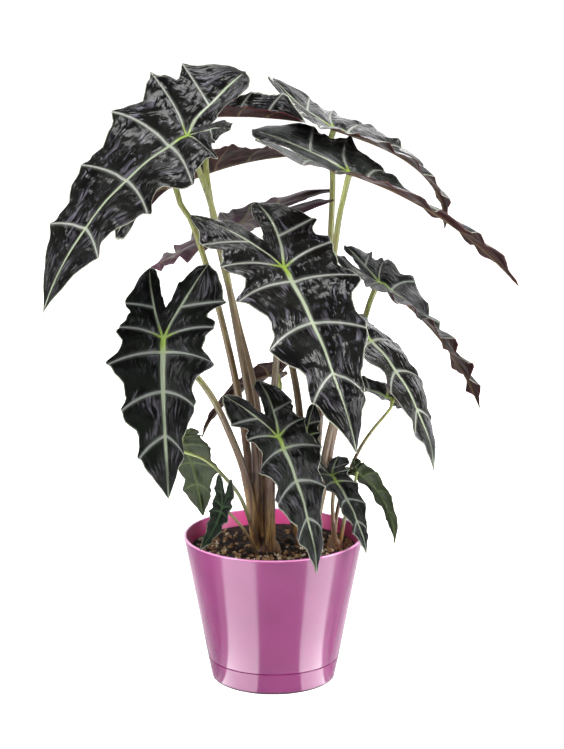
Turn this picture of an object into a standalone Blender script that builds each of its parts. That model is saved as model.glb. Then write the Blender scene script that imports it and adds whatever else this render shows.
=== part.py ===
"""African mask plant with its glossy magenta pot, for Blender 4.5 (metres, +Z up).

The origin is the centre of the pot's flat underside. The leaves, stems and shoots are given by
the sizes and angles below; each leaf hangs from the top of its own stem.
"""

from dataclasses import dataclass
from math import cos, pi, radians, sin

import bmesh
import bpy
import numpy as np
from mathutils import Vector

MM = 0.001

# The pot, a thin straight cone
POT_HEIGHT = 116 * MM
POT_RIM_RADIUS = 70 * MM
POT_BASE_RADIUS = 48.5 * MM
POT_WALL = 2.2 * MM
POT_FLOOR = 3 * MM
POT_EDGE_ROUND = 2 * MM
POT_GROOVE_HEIGHT = 18 * MM
POT_GROOVE_DEPTH = 0.6 * MM
POT_GROOVE_HALF = 0.8 * MM
POT_GROOVE_LOWEST = 0.3 * MM
SEGMENTS = 40
SHARP_ANGLE = 35

# The soil that fills the pot
SOIL_TOP = 104 * MM
SOIL_MOUND = 4 * MM
SOIL_LUMPS = 1.2 * MM
SOIL_LUMP_LENGTH = 30 * MM
SOIL_RINGS = (0.88, 0.68, 0.48, 0.28, 0.12, 0)
FIT_GAP = 0.3 * MM

# Leaf blades
BLADE_THICKNESS = 0.9 * MM
MIDRIB_DEPTH = 2.0 * MM
FULL_RIB_LENGTH = 120
SIDE_RIB_SHARE = 0.4
RIB_TAPER = 0.75
BASAL_RIB_TAPER = 0.45

# Shoots and stems: a round foot in the soil with one sheathed stub for each stem, then the free
# stem from just past its sheath up to its neck below the blade
SHOOT_FOOT_BOTTOM = 72 * MM
SHOOT_FOOT_TOP = 108 * MM
NECK = 11 * MM
NECK_SAG = 0.4
STEM_GAP = 0.5 * MM
STEM_RINGS = 11
STEM_TAPER = 0.8
LONG_LEAF = 90
END_STEP = 2 * MM
STUB_DEPTH = 12 * MM
STUB_SWELL = 1.35
STUB_TAPER = 0.25
STUB_RINGS = 5
STUB_INSET = 0.4
LONE_STEM_DEPTH = 18 * MM
LONE_STEM_PLAY = 1.6
FOOT_SEGMENTS = 20

# Colours from the photograph (linear)
POT_COLOUR = (0.40, 0.08, 0.24, 1)
SOIL_COLOUR = (0.035, 0.022, 0.015, 1)
SHOOT_COLOUR = (0.26, 0.16, 0.08, 1)
STEM_COLOUR = (0.24, 0.21, 0.09, 1)
DARK_LEAF_COLOUR = (0.015, 0.022, 0.016, 1)
GREEN_LEAF_COLOUR = (0.10, 0.16, 0.05, 1)


# Sizes on the flat blade, as shares of its length from the junction to the tip
HALF_WIDTH = 0.33
LOBE_LENGTH = 0.47
SPINE_EASE = 0.05
BLEND_REACH = 0.1
WAVE_REACH = 0.2
CURL_LIMIT = 1.3

# Where along the blade the margin's reach is set, from the basal lobes to near the tip
REACH_PLACES = (-0.45, -0.22, -0.06, 0.17, 0.44, 0.73)
EVEN = (1, 1, 1, 1, 1, 1)


@dataclass(frozen=True)
class Leaf:
    """One blade, in millimetres and degrees, from its junction with the stem to its tip.

    heading 0 points along +X and 90 along +Y; rise and dip are the midrib's slope at the junction
    and at the tip, reached later the higher droop is; turn bends it sideways. A positive roll lifts
    the leaf's left half. The pairs are for the left and right halves: basal and spread are the
    basal lobe's length and its angle to the midrib, sweep draws the side veins' ends back from the
    tip, reach is the margin's width at REACH_PLACES,
    fold is the half's angle to the flat, curl bends it further towards the margin, and lobe lifts
    the basal lobe's tip.
    """

    junction: tuple
    heading: float
    rise: float
    dip: float
    length: float
    turn: float = 0
    roll: float = 0
    twist: float = 0
    droop: float = 1
    width: float = 1
    basal: tuple = (1, 1)
    spread: tuple = (1, 1)
    sweep: tuple = (0, 0)
    reach: tuple = (EVEN, EVEN)
    fold: tuple = (5, 5)
    curl: tuple = (5, 5)
    lobe: tuple = (0, 0)
    wave: float = 1.5
    phase: float = 0
    colour: tuple = DARK_LEAF_COLOUR


@dataclass(frozen=True)
class Stem:
    """One leaf stem: the shoot it leaves, where it passes (mm), its sheath length and radii."""

    shoot: str
    lean: float
    via: tuple
    sheath: float = 45
    thick: float = 3.4
    thin: float = 2.1


LEAVES = {
    "top_left": Leaf((-64, -25, 434), -155, -24, -62, 178, turn=22, roll=0, width=0.9, basal=(0.3, 0.86),
                     sweep=(0.15, 0.32), fold=(-18, 32), curl=(-8, 18), lobe=(-2, -8), wave=2, phase=0.3,
                     reach=((0.4, 0.4, 0.72, 0.9, 0.95, 0.85), (0.9, 1.05, 1.32, 0.95, 0.85, 1.1))),
    "top_left_back": Leaf((-76, 35, 386), 35, 16, -3, 110, roll=-15, width=0.85, basal=(1.1, 1.1),
                          fold=(40, 40), curl=(15, 15), lobe=(-36, -26), phase=1.1,
                          reach=(EVEN, (1.3, 1.35, 1.2, 1, 1, 1))),
    "top_middle_back": Leaf((-52, 27, 441), -7, 4, -9, 78, roll=15, width=1.05, basal=(0.7, 0.7),
                            fold=(38, 45), curl=(10, 10), phase=2.0,
                            reach=((0.5, 0.5, 0.5, 0.6, 1.0, 1.9), (0.4, 0.4, 0.5, 0.75, 1, 1))),
    "top_right_back": Leaf((47, 50, 428), -8, -18, -96, 126, turn=8, droop=2.2, roll=0, twist=-14,
                           fold=(10, 5), curl=(5, 5), lobe=(12, 22), phase=0.8,
                           reach=((0.8, 0.8, 0.9, 0.85, 0.9, 1.0), (0.55, 0.55, 0.9, 1.15, 1.25, 1.3))),
    "top_right_front": Leaf((58, -5, 403), -5, -18, -50, 158, turn=8, roll=8, twist=-36, width=1.05,
                            basal=(1.1, 1.0), fold=(6, 12), curl=(14, 5), lobe=(-8, 4), wave=2, phase=1.7,
                            reach=((0.75, 0.92, 1.0, 0.5, 0.12, 0.3), (1, 1, 1, 0.9, 0.6, 0.6))),
    "middle_back": Leaf((-26, 50, 353), 180, -23, -36, 92, turn=-40, roll=-15, basal=(1.75, 1.75),
                        fold=(0, 5), lobe=(-6, -12), phase=2.6,
                        reach=((0.7, 0.65, 0.7, 1, 1, 1), (0.7, 0.65, 0.7, 1, 1, 1))),
    "centre": Leaf((8, -70, 343), -56, -38, -66, 155, roll=-15, width=0.93, spread=(0.55, 1.0),
                   fold=(25, -10), curl=(20, -5), lobe=(-15, -18), wave=2.5, phase=0.4,
                   reach=((1.1, 1.1, 1.1, 1.05, 1.0, 0.95), (1.0, 1.0, 1.1, 1.15, 1.2, 1.1))),
    "left": Leaf((-82, -55, 286), -95, -64, -88, 122, turn=35, roll=15, width=0.95, basal=(0.98, 1.0),
                 spread=(1.0, 0.75), fold=(5, 18), curl=(-5, 5), lobe=(-3, -14), wave=2, phase=1.3,
                 reach=((1.2, 1.2, 1.1, 1.05, 0.8, 0.75), (0.88, 0.9, 0.98, 1.1, 1.1, 1.3))),
    "right_long": Leaf((82, 25, 311.5), -8, -32, -66, 127, turn=-20, roll=6, twist=-58,
                       basal=(0.64, 0.7), spread=(0.45, 0.7), fold=(5, 5), curl=(15, 5), lobe=(3, 4),
                       phase=2.2),
    "right_low": Leaf((67, -25, 284), -26, -37, -81, 122, roll=0, basal=(0.4, 0.4), fold=(-1, 5),
                      curl=(-10, 5), lobe=(-8, -8), phase=0.9,
                      reach=((0.9, 0.9, 0.9, 1, 1.15, 1.2), EVEN)),
    "low_front": Leaf((4, -62, 211), -36, -58, -84, 108, turn=5, roll=3, width=1.02, basal=(0.95, 0.9),
                      spread=(0.8, 1.0), fold=(5, 0), curl=(2, 5), lobe=(-15, -10), wave=2, phase=1.9),
    "low_right": Leaf((45, -21, 169), -45, -38, -76, 68, turn=5, roll=-10, width=1.0, basal=(0.5, 0.6),
                      spread=(1.3, 0.8), fold=(5, 5), lobe=(0, 5), wave=1, phase=0.2),
    "small_left": Leaf((-69, -30, 202), 55, -60, -80, 74, roll=-10, width=0.9, basal=(0.4, 0.25),
                       spread=(0.7, 1.2), fold=(10, 10), curl=(5, 5), wave=1, phase=0.6,
                       reach=((0.3, 0.3, 0.3, 0.4, 0.9, 1.6), (0.5, 0.6, 0.75, 0.85, 1.2, 1.0)),
                       colour=GREEN_LEAF_COLOUR),
    "small_soil": Leaf((-39, -47, 151), -175, -75, -50, 38, roll=-55, width=0.75, basal=(1.5, 1.5),
                       spread=(0.9, 0.9), fold=(10, 10), lobe=(8, 8), wave=0.6, phase=1.2),
    "small_right": Leaf((65, 5, 165), 15, -36, -90, 72, roll=-50, width=0.45, basal=(0.3, 0.3),
                        fold=(15, 15), wave=1, phase=1.6, colour=GREEN_LEAF_COLOUR),
    "small_back": Leaf((2, 60, 231), 198, -8, -68, 82, roll=48, width=0.55, basal=(0.3, 0.3),
                       fold=(12, 12), wave=1, phase=2.4),
    "small_right_back": Leaf((94, 30, 217), 170, 24, 8, 62, roll=46, width=0.7, basal=(0.4, 0.4),
                             fold=(10, 10), wave=1, phase=0.5),
    "hidden_low": Leaf((24, -8, 195), -80, -62, -80, 46, roll=0, width=0.9, basal=(1.3, 1.0),
                       fold=(5, 5), wave=1, phase=2.8),
}

STEMS = {
    "top_left": Stem("main", 150, ((-15, -12, 203), (-25, -10, 266), (-43, -16, 366)), 62),
    "top_left_back": Stem("main", 170, ((-24, 6, 208), (-42, 20, 291), (-61.5, 30, 354)), 58),
    "top_middle_back": Stem("main", 110, ((-12, 9, 211), (-28, 6, 286), (-42, 9, 346), (-51, 17, 399)), 60),
    "top_right_back": Stem("side", 60, ((36, 26, 201), (42, 42, 296), (46, 50, 386)), 55),
    "top_right_front": Stem("side", -10, ((46, 2, 201), (43, 0, 296), (49, -3, 360)), 55),
    "middle_back": Stem("side", 120, ((21, 30, 201), (8, 42, 268), (-14, 52, 330)), 55),
    "centre": Stem("main", -60, ((-2, -14, 188), (2, -18, 256), (6, -38, 321)), 50),
    "left": Stem("main", 200, ((-20, -14, 161), (-33, -28, 204), (-50, -42, 243)), 62),
    "right_long": Stem("side", 30, ((48, 15, 198), (59, 21, 246), (70, 24, 280)), 55),
    "right_low": Stem("side", -20, ((42, -9, 193), (54, -12, 236), (62, -14, 266)), 50),
    "low_front": Stem("side", 240, ((10, -14, 150), (4, -28, 183), (3, -46, 204)), 30),
    "low_right": Stem("small", -90, ((46, -8, 138), (46, -12, 154)), 20, 1.8, 1.4),
    "small_left": Stem("main", 235, ((-24, -28, 151), (-37.5, -34, 172), (-52, -40, 187.5)), 30, 1.7, 1.2),
    "small_right": Stem("small", -20, ((57, -3, 136), (62, 0, 151)), 18, 1.6, 1.2),
    "small_back": Stem("main", 60, ((0, 24, 168), (3, 46, 208)), 35, 2.4, 1.6),
    "small_right_back": Stem("small", 110, ((52, 12, 140), (64, 25, 170), (76, 28, 190)), 20, 1.7, 1.2),
    "hidden_low": Stem("side", 262, ((24, -9, 153), (24, -4, 180)), 22, 2.1, 1.5),
    "small_soil": Stem("", 0, ((-25, -37, 134),), 0, 1.2, 1.0),
}

# Each shoot's foot: centre and radius
SHOOTS = {
    "main": ((-6, -8), 12),
    "side": ((25, 2), 9),
    "small": ((48, -2), 6.5),
}
LONE_STEM_FOOT = (-14, -27, 112)

# The flat half blade, with the junction at (0, 0), the tip at (1, 0) and the left margin at +Y.
# Each row runs from the spine to the margin: its place on the spine (from -1 at the basal lobe's
# tip to 0 at the junction and 1 at the leaf's tip), its margin point, and 1 where it is a vein.
OUTER_ROWS = (
    (-1.00, (-0.47, 0.24), 1),
    (-0.78, (-0.39, 0.30), 0),
    (-0.45, (-0.22, 0.35), 1),
    (-0.20, (-0.145, 0.27), 0),
    (0.00, (-0.06, 0.32), 1),
    (0.04, (0.05, 0.255), 0),
    (0.09, (0.17, 0.325), 1),
    (0.21, (0.31, 0.22), 0),
    (0.33, (0.44, 0.26), 1),
    (0.46, (0.60, 0.155), 0),
    (0.60, (0.73, 0.15), 1),
    (0.80, (0.87, 0.07), 0),
    (1.00, (1.00, 0.0), 1),
)
# The rows on the inner side of the basal lobe, down to the notch between the two lobes
INNER_ROWS = (
    (-1.00, (-0.47, 0.24), 1),
    (-0.78, (-0.45, 0.165), 0),
    (-0.45, (-0.36, 0.08), 0),
    (-0.20, (-0.26, 0.035), 0),
    (0.00, (-0.20, 0.0), 0),
)
ACROSS_OUTER = (0, 0.12, 0.42, 0.74, 1)
ACROSS_INNER = (0, 0.5, 1)
BASAL_VEIN_BOW = (-0.20, 0.085)


def clear_scene():
    """Remove whatever the opened scene holds."""
    for item in list(bpy.data.objects):
        bpy.data.objects.remove(item, do_unlink=True)


def make_material(name, colour, roughness):
    """A plain Principled BSDF material."""
    material = bpy.data.materials.new(name)
    material.use_nodes = True
    shader = material.node_tree.nodes["Principled BSDF"]
    shader.inputs["Base Color"].default_value = colour
    shader.inputs["Roughness"].default_value = roughness
    shader.inputs["Metallic"].default_value = 0
    return material


def add_object(name, data, material=None, parent=None):
    """Link a mesh or curve as an object with one material."""
    item = bpy.data.objects.new(name, data)
    bpy.context.collection.objects.link(item)
    if material:
        data.materials.append(material)
    item.parent = parent
    return item


def applied_mesh(item, name):
    """The object's mesh with its modifiers applied, or a curve's tube as a mesh."""
    depsgraph = bpy.context.evaluated_depsgraph_get()
    mesh = bpy.data.meshes.new_from_object(item.evaluated_get(depsgraph))
    mesh.name = name
    return mesh


def hide_cutter(item):
    """Mark an object as a cutter, not a piece of the part."""
    item.hide_render = True
    item.display_type = "WIRE"


def turned_mesh(name, profile, segments):
    """A closed body of revolution from (radius, height) points that start and end on the axis."""
    turns = np.linspace(0, 2 * pi, segments, endpoint=False)
    corners = []
    rows = []
    for radius, height in profile:
        ring = [(radius * cos(turn), radius * sin(turn), height) for turn in turns]
        ring = ring if radius > 0 else ring[:1]
        rows.append(range(len(corners), len(corners) + len(ring)))
        corners += ring
    faces = []
    for low, high in zip(rows, rows[1:]):
        for first in range(segments):
            after = (first + 1) % segments
            places = ((low, first), (low, after), (high, after), (high, first))
            around = [row[place % len(row)] for row, place in places]
            faces.append(list(dict.fromkeys(around)))
    mesh = bpy.data.meshes.new(name)
    mesh.from_pydata(corners, [], faces)
    body = bmesh.new()
    body.from_mesh(mesh)
    bmesh.ops.recalc_face_normals(body, faces=body.faces)
    body.to_mesh(mesh)
    body.free()
    mesh.shade_smooth()
    mesh.set_sharp_from_angle(angle=radians(SHARP_ANGLE))
    return mesh


def wall_radius(height):
    """The pot's outer radius at a height."""
    return POT_BASE_RADIUS + (POT_RIM_RADIUS - POT_BASE_RADIUS) * height / POT_HEIGHT


def make_pot(parent):
    """The thin conical pot with a rounded foot, a fine groove and a rounded lip."""
    foot = [
        (wall_radius(0) - POT_EDGE_ROUND * (1 - sin(turn)), POT_EDGE_ROUND * (1 - cos(turn)))
        for turn in (0, pi / 6, pi / 3, pi / 2)
    ]
    groove = [
        (wall_radius(POT_GROOVE_HEIGHT + offset) - depth, POT_GROOVE_HEIGHT + offset)
        for offset, depth in (
            (-POT_GROOVE_HALF, 0),
            (-POT_GROOVE_LOWEST, POT_GROOVE_DEPTH),
            (POT_GROOVE_HALF, 0),
        )
    ]
    lip_radius = POT_WALL / 2
    lip_centre = POT_RIM_RADIUS - lip_radius
    lip = [
        (lip_centre + lip_radius * cos(turn), POT_HEIGHT - lip_radius * (1 - sin(turn)))
        for turn in (0, pi / 4, pi / 2, 3 * pi / 4, pi)
    ]
    inside = [
        (wall_radius(POT_FLOOR + POT_EDGE_ROUND) - POT_WALL, POT_FLOOR + POT_EDGE_ROUND),
        (wall_radius(POT_FLOOR) - POT_WALL - POT_EDGE_ROUND, POT_FLOOR),
        (0, POT_FLOOR),
    ]
    profile = [(0, 0)] + foot + groove + lip + inside
    mesh = turned_mesh("pot", profile, SEGMENTS)
    add_object("pot", mesh, make_material("glossy_magenta", POT_COLOUR, 0.15), parent)


def soil_height(x, y):
    """The mounded, slightly lumpy top of the soil."""
    reach = min(1, (x * x + y * y) ** 0.5 / POT_RIM_RADIUS)
    turn = 2 * pi / SOIL_LUMP_LENGTH
    lumps = sin(turn * x + 1.3) * cos(1.25 * turn * y) + 0.6 * sin(turn * (2 * y + 1.6 * x))
    return SOIL_TOP + SOIL_MOUND * (1 - reach) ** 1.5 + SOIL_LUMPS * lumps * min(1, 2 * (1 - reach))


def make_soil(parent, cutters):
    """The soil that fills the pot, with plain holes for the shoots."""
    inner = POT_WALL + FIT_GAP
    floor = POT_FLOOR + FIT_GAP
    edge = wall_radius(SOIL_TOP) - inner
    rings = [(edge * part, SOIL_TOP) for part in SOIL_RINGS]
    profile = [(0, floor), (wall_radius(floor) - inner - 3 * MM, floor),
               (wall_radius(floor + 3 * MM) - inner, floor + 3 * MM), (edge, SOIL_TOP)] + rings
    mesh = turned_mesh("soil", profile, SEGMENTS)
    for vertex in mesh.vertices:
        if vertex.co.z > SOIL_TOP - 1 * MM and (vertex.co.x ** 2 + vertex.co.y ** 2) ** 0.5 < edge - 1 * MM:
            vertex.co.z = soil_height(vertex.co.x, vertex.co.y)
    soil = add_object("soil_uncut", mesh)
    cut = soil.modifiers.new("holes", "BOOLEAN")
    cut.operation = "DIFFERENCE"
    cut.solver = "EXACT"
    cut.operand_type = "COLLECTION"
    cut.collection = cutters
    finished = applied_mesh(soil, "soil")
    bpy.data.objects.remove(soil, do_unlink=True)
    add_object("soil", finished, make_material("potting_soil", SOIL_COLOUR, 0.95), parent)


def blend(pair, side, apart):
    """One side's value of a pair, brought to the mean of both sides near the midrib."""
    mean = (pair[0] + pair[1]) / 2
    return mean + (pair[side] - mean) * apart


class BladeForm:
    """The bent surface of one blade: it turns flat blade coordinates into places in space."""

    STEPS = 60

    def __init__(self, leaf):
        self.leaf = leaf
        self.size = leaf.length * MM
        along = np.linspace(0, 1, self.STEPS + 1)
        heading = np.radians(leaf.heading + leaf.turn * along)
        slope = np.radians(leaf.rise + (leaf.dip - leaf.rise) * along ** leaf.droop)
        level_share = np.cos(slope)
        forward = np.stack([level_share * np.cos(heading), level_share * np.sin(heading), np.sin(slope)], -1)
        steps = (forward[1:] + forward[:-1]) / 2 * self.size / self.STEPS
        start = np.array(leaf.junction) * MM
        level = np.stack([-np.sin(heading), np.cos(heading), 0 * heading], -1)
        upward = np.cross(forward, level)
        roll = np.radians(leaf.roll + leaf.twist * along)[:, None]
        self.along = along
        self.forward = forward
        self.midrib = start + np.concatenate([np.zeros((1, 3)), np.cumsum(steps, 0)])
        self.left = np.cos(roll) * level + np.sin(roll) * upward
        self.normal = np.cos(roll) * upward - np.sin(roll) * level

    def at(self, table, x):
        """Read one of the midrib's vector tables at a place along the blade."""
        return np.array([np.interp(x, self.along, table[:, axis]) for axis in range(3)])

    def place(self, x, y, lift=0):
        """The point at (x, y) of the flat blade, raised by lift metres along the normal."""
        leaf = self.leaf
        side = 0 if y >= 0 else 1
        inside = min(max(x, 0), 1)
        inside = inside * (1 - leaf.sweep[side] * inside * abs(y) / HALF_WIDTH)
        behind = min(x, 0)
        reach = abs(y) * leaf.width * np.interp(x, REACH_PLACES, leaf.reach[side])
        reach *= 1 + (leaf.spread[side] - 1) * min(1, -behind / LOBE_LENGTH)
        fold = leaf.fold[side] * min(1, reach / SPINE_EASE)
        curl = leaf.curl[side] * min(CURL_LIMIT, reach / HALF_WIDTH) / 2
        angle = radians(fold + curl)
        apart = min(1, reach / BLEND_REACH)
        lobe = blend(leaf.lobe, side, apart) * MM * (behind / LOBE_LENGTH) ** 2
        height = reach * self.size * sin(angle) + lobe + lift
        sideways = (1 if side == 0 else -1) * reach * self.size * cos(angle)
        backwards = behind * blend(leaf.basal, side, apart) * self.size
        point = self.at(self.midrib, inside) + backwards * self.forward[0]
        return point + self.at(self.left, inside) * sideways + self.at(self.normal, inside) * height


def spine_point(place):
    """A point of the spine: the bowed basal vein for negative places, else the midrib."""
    if place >= 0:
        return (place, 0.0)
    along = -place
    tip = OUTER_ROWS[0][1]
    bow = 2 * along * (1 - along)
    return tuple(bow * BASAL_VEIN_BOW[axis] + along * along * tip[axis] for axis in (0, 1))


def rib_weight(place, across, vein):
    """How far a vertex takes part in a rib: 1 on the midrib at the junction, 0 on the plain blade."""
    if across == 0:
        return 1 - RIB_TAPER * place if place >= 0 else RIB_TAPER + BASAL_RIB_TAPER * place
    if vein:
        return SIDE_RIB_SHARE * (1 - across)
    return 0


def ripple(leaf, side, along, across, vein, reach):
    """The margin's slow wave, two turns long, and the swelling between side veins, in metres."""
    slow = sin(leaf.phase + 1.3 * side + 4 * pi * along)
    swelling = 0.5 - vein
    return leaf.wave * MM * across * across * min(1, reach / WAVE_REACH) * (slow + swelling)


def blade_mesh(name, leaf):
    """The blade's upper surface in triangles, with its ribs marked in a vertex group."""
    form = BladeForm(leaf)
    places = {}
    points = []
    weights = []
    faces = []

    def vertex(side, row, along, across):
        """The number of a grid point, shared where two halves or two rows meet."""
        place, margin, vein = row
        spine = spine_point(place)
        x = spine[0] + (margin[0] - spine[0]) * across
        y = spine[1] + (margin[1] - spine[1]) * across
        reach = ((margin[0] - spine[0]) ** 2 + (margin[1] - spine[1]) ** 2) ** 0.5
        key = (round(x, 5), round(y * (-1 if side else 1), 5))
        if key not in places:
            places[key] = len(points)
            lift = ripple(leaf, side, along, across, vein, reach)
            points.append(form.place(*key, lift))
            weights.append(rib_weight(place, across, vein))
        return places[key]

    for side in (0, 1):
        for rows, columns, flip in ((OUTER_ROWS, ACROSS_OUTER, side), (INNER_ROWS, ACROSS_INNER, 1 - side)):
            grid = [[vertex(side, row, index / len(rows), across) for across in columns]
                    for index, row in enumerate(rows)]
            for lower, upper in zip(grid, grid[1:]):
                for column in range(len(columns) - 1):
                    corners = (lower[column], upper[column], upper[column + 1], lower[column + 1])
                    halves = (corners[:3], (corners[0], corners[2], corners[3]))
                    for triangle in halves:
                        if len(set(triangle)) == 3:
                            faces.append(triangle[::-1] if flip else triangle)
    mesh = bpy.data.meshes.new(name)
    mesh.from_pydata(points, [], faces)
    mesh.shade_smooth()
    return mesh, weights


def make_leaf(key, leaf, parent):
    """One closed blade: the upper surface thickened downwards, more so along the ribs."""
    name = "leaf_" + key
    mesh, weights = blade_mesh(name, leaf)
    item = add_object(name, mesh, make_material("blade_" + key, leaf.colour, 0.35), parent)
    ribs = item.vertex_groups.new(name="ribs")
    for index, weight in enumerate(weights):
        ribs.add([index], weight, "REPLACE")
    thickness = BLADE_THICKNESS + MIDRIB_DEPTH * blade_scale(leaf)
    solid = item.modifiers.new("thickness", "SOLIDIFY")
    solid.thickness = thickness
    solid.offset = -1
    solid.vertex_group = ribs.name
    solid.thickness_vertex_group = BLADE_THICKNESS / thickness
    return item


def blade_scale(leaf):
    """Ribs are slimmer on the small leaves."""
    return min(1, leaf.length / FULL_RIB_LENGTH)


def smooth_path(points, per_span=8):
    """A smooth curve through points (Catmull-Rom)."""
    knots = [2 * points[0] - points[1]] + list(points) + [2 * points[-1] - points[-2]]
    curve = []
    for before, start, end, after in zip(knots, knots[1:], knots[2:], knots[3:]):
        for step in range(per_span):
            t = step / per_span
            curve.append(0.5 * (2 * start + (end - before) * t
                                + (2 * before - 5 * start + 4 * end - after) * t ** 2
                                + (3 * start - before - 3 * end + after) * t ** 3))
    curve.append(points[-1])
    return curve


def path_lengths(curve):
    """The distance along a curve at each of its points."""
    points = np.array([list(point) for point in curve])
    return points, np.concatenate([[0], np.cumsum(np.linalg.norm(np.diff(points, axis=0), axis=1))])


def points_at(curve, marks):
    """The curve's points at the given distances along it."""
    points, lengths = path_lengths(curve)
    return [Vector([np.interp(mark, lengths, points[:, axis]) for axis in range(3)]) for mark in marks]


def stem_curve(key):
    """The stem's centre line from inside its shoot up to its neck, and the two ends of the neck."""
    stem = STEMS[key]
    leaf = LEAVES[key]
    form = BladeForm(leaf)
    normal = Vector(form.normal[0])
    under = BLADE_THICKNESS + MIDRIB_DEPTH * blade_scale(leaf) + FIT_GAP
    top = Vector(leaf.junction) * MM - normal * under
    straight = top - normal * END_STEP
    bend = NECK * blade_scale(leaf)
    neck = top - normal * bend - Vector((0, 0, NECK_SAG * bend))
    if stem.shoot:
        (x, y), radius = SHOOTS[stem.shoot]
        reach = radius - STUB_SWELL * stem.thick - STUB_INSET
        base = Vector((x + reach * cos(radians(stem.lean)), y + reach * sin(radians(stem.lean)), 0)) * MM
        first = base + Vector((0, 0, SHOOT_FOOT_TOP - STUB_DEPTH))
        second = base + Vector((0, 0, SHOOT_FOOT_TOP))
    else:
        second = Vector(LONE_STEM_FOOT) * MM
        first = second - Vector((0, 0, LONE_STEM_DEPTH))
    via = [Vector(point) * MM for point in stem.via]
    return smooth_path([first, second] + via + [neck, straight]), top


def tube_curve(name, points, radii, resolution):
    """A curve with a round bevel, filled caps and a radius (mm) at each point."""
    curve = bpy.data.curves.new(name, "CURVE")
    curve.dimensions = "3D"
    curve.bevel_depth = MM
    curve.bevel_resolution = resolution
    curve.use_fill_caps = True
    spline = curve.splines.new("POLY")
    spline.points.add(len(points) - 1)
    for knot, point, radius in zip(spline.points, points, radii):
        knot.co = (*point, 1)
        knot.radius = radius
    spline.use_smooth = True
    return curve


def make_stem(key, parent, material):
    """The free part of one leaf stem, tapered, from its sheath to just below the blade."""
    stem = STEMS[key]
    curve, top = stem_curve(key)
    start = STUB_DEPTH + stem.sheath * MM + STEM_GAP if stem.shoot else 0
    end = path_lengths(curve)[1][-1]
    marks = [start] + list(np.linspace(start + END_STEP, end, STEM_RINGS - 1))
    points = points_at(curve, marks) + [top]
    radii = [stem.thick + (stem.thin - stem.thick) * share ** STEM_TAPER
             for share in np.linspace(0, 1, STEM_RINGS + 1)]
    resolution = 2 if LEAVES[key].length > LONG_LEAF else 1
    add_object("stem_" + key, tube_curve("stem_" + key, points, radii, resolution), material, parent)


def post_mesh(name, centre, bottom, top, radius):
    """A round upright post on the given centre."""
    body = bmesh.new()
    bmesh.ops.create_cone(body, cap_ends=True, segments=FOOT_SEGMENTS, radius1=radius, radius2=radius,
                          depth=top - bottom)
    bmesh.ops.translate(body, verts=body.verts, vec=(centre[0], centre[1], (top + bottom) / 2))
    mesh = bpy.data.meshes.new(name)
    body.to_mesh(mesh)
    body.free()
    return mesh


def make_shoot(key, parent, material):
    """A round foot joined with the sheathed stubs of the stems that leave it."""
    (x, y), radius = SHOOTS[key]
    foot = add_object(
        "shoot_foot",
        post_mesh("shoot_foot", (x * MM, y * MM), SHOOT_FOOT_BOTTOM, SHOOT_FOOT_TOP, radius * MM),
    )
    stubs = bpy.data.collections.new("stubs_" + key)
    bpy.context.scene.collection.children.link(stubs)
    for stem_key, stem in STEMS.items():
        if stem.shoot != key:
            continue
        curve, _ = stem_curve(stem_key)
        end = STUB_DEPTH + stem.sheath * MM
        points = points_at(curve, list(np.linspace(0, end - END_STEP, STUB_RINGS)) + [end])
        swells = np.linspace(STUB_SWELL, STUB_SWELL - STUB_TAPER, STUB_RINGS + 1)
        radii = [stem.thick * swell for swell in swells]
        tube = bpy.data.objects.new("stub_curve", tube_curve("stub_curve", points, radii, 2))
        bpy.context.collection.objects.link(tube)
        stub = bpy.data.objects.new("stub", applied_mesh(tube, "stub"))
        bpy.data.objects.remove(tube, do_unlink=True)
        stubs.objects.link(stub)
    join = foot.modifiers.new("join", "BOOLEAN")
    join.operation = "UNION"
    join.solver = "EXACT"
    join.operand_type = "COLLECTION"
    join.collection = stubs
    mesh = applied_mesh(foot, "shoot_" + key)
    for item in list(stubs.objects) + [foot]:
        bpy.data.objects.remove(item, do_unlink=True)
    add_object("shoot_" + key, mesh, material, parent)


def hole_cutters():
    """Plain round holes for the shoots' feet and the stem that stands alone."""
    cutters = bpy.data.collections.new("soil_holes")
    bpy.context.scene.collection.children.link(cutters)
    holes = [(centre, radius, SHOOT_FOOT_BOTTOM) for centre, radius in SHOOTS.values()]
    lone = STEMS["small_soil"].thick + LONE_STEM_PLAY
    holes.append((LONE_STEM_FOOT[:2], lone, LONE_STEM_FOOT[2] * MM - LONE_STEM_DEPTH))
    for centre, radius, bottom in holes:
        wide = radius * MM + FIT_GAP
        mesh = post_mesh("hole", (centre[0] * MM, centre[1] * MM), bottom - FIT_GAP, POT_HEIGHT, wide)
        cutter = bpy.data.objects.new("hole", mesh)
        cutters.objects.link(cutter)
        hide_cutter(cutter)
    return cutters


def main():
    """Build the plant in its pot."""
    clear_scene()
    plant = bpy.data.objects.new("potted_plant", None)
    bpy.context.collection.objects.link(plant)
    make_pot(plant)
    cutters = hole_cutters()
    make_soil(plant, cutters)
    for cutter in list(cutters.objects):
        bpy.data.objects.remove(cutter, do_unlink=True)
    shoot_material = make_material("sheathed_shoot", SHOOT_COLOUR, 0.7)
    for key in SHOOTS:
        make_shoot(key, plant, shoot_material)
    stem_material = make_material("leaf_stem", STEM_COLOUR, 0.45)
    for key in STEMS:
        make_stem(key, plant, stem_material)
    for key, leaf in LEAVES.items():
        make_leaf(key, leaf, plant)


main()
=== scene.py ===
"""African mask plant in a glossy magenta pot: fine surfaces, finishes, light and camera.

+Z is up, the photograph looks along +Y, and the pot stands on its flat underside at the origin. The
leaves and stems take the same sizes as the solid part, on a finer grid.
"""

from dataclasses import dataclass
from math import cos, pi, radians, sin
from types import SimpleNamespace

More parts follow.
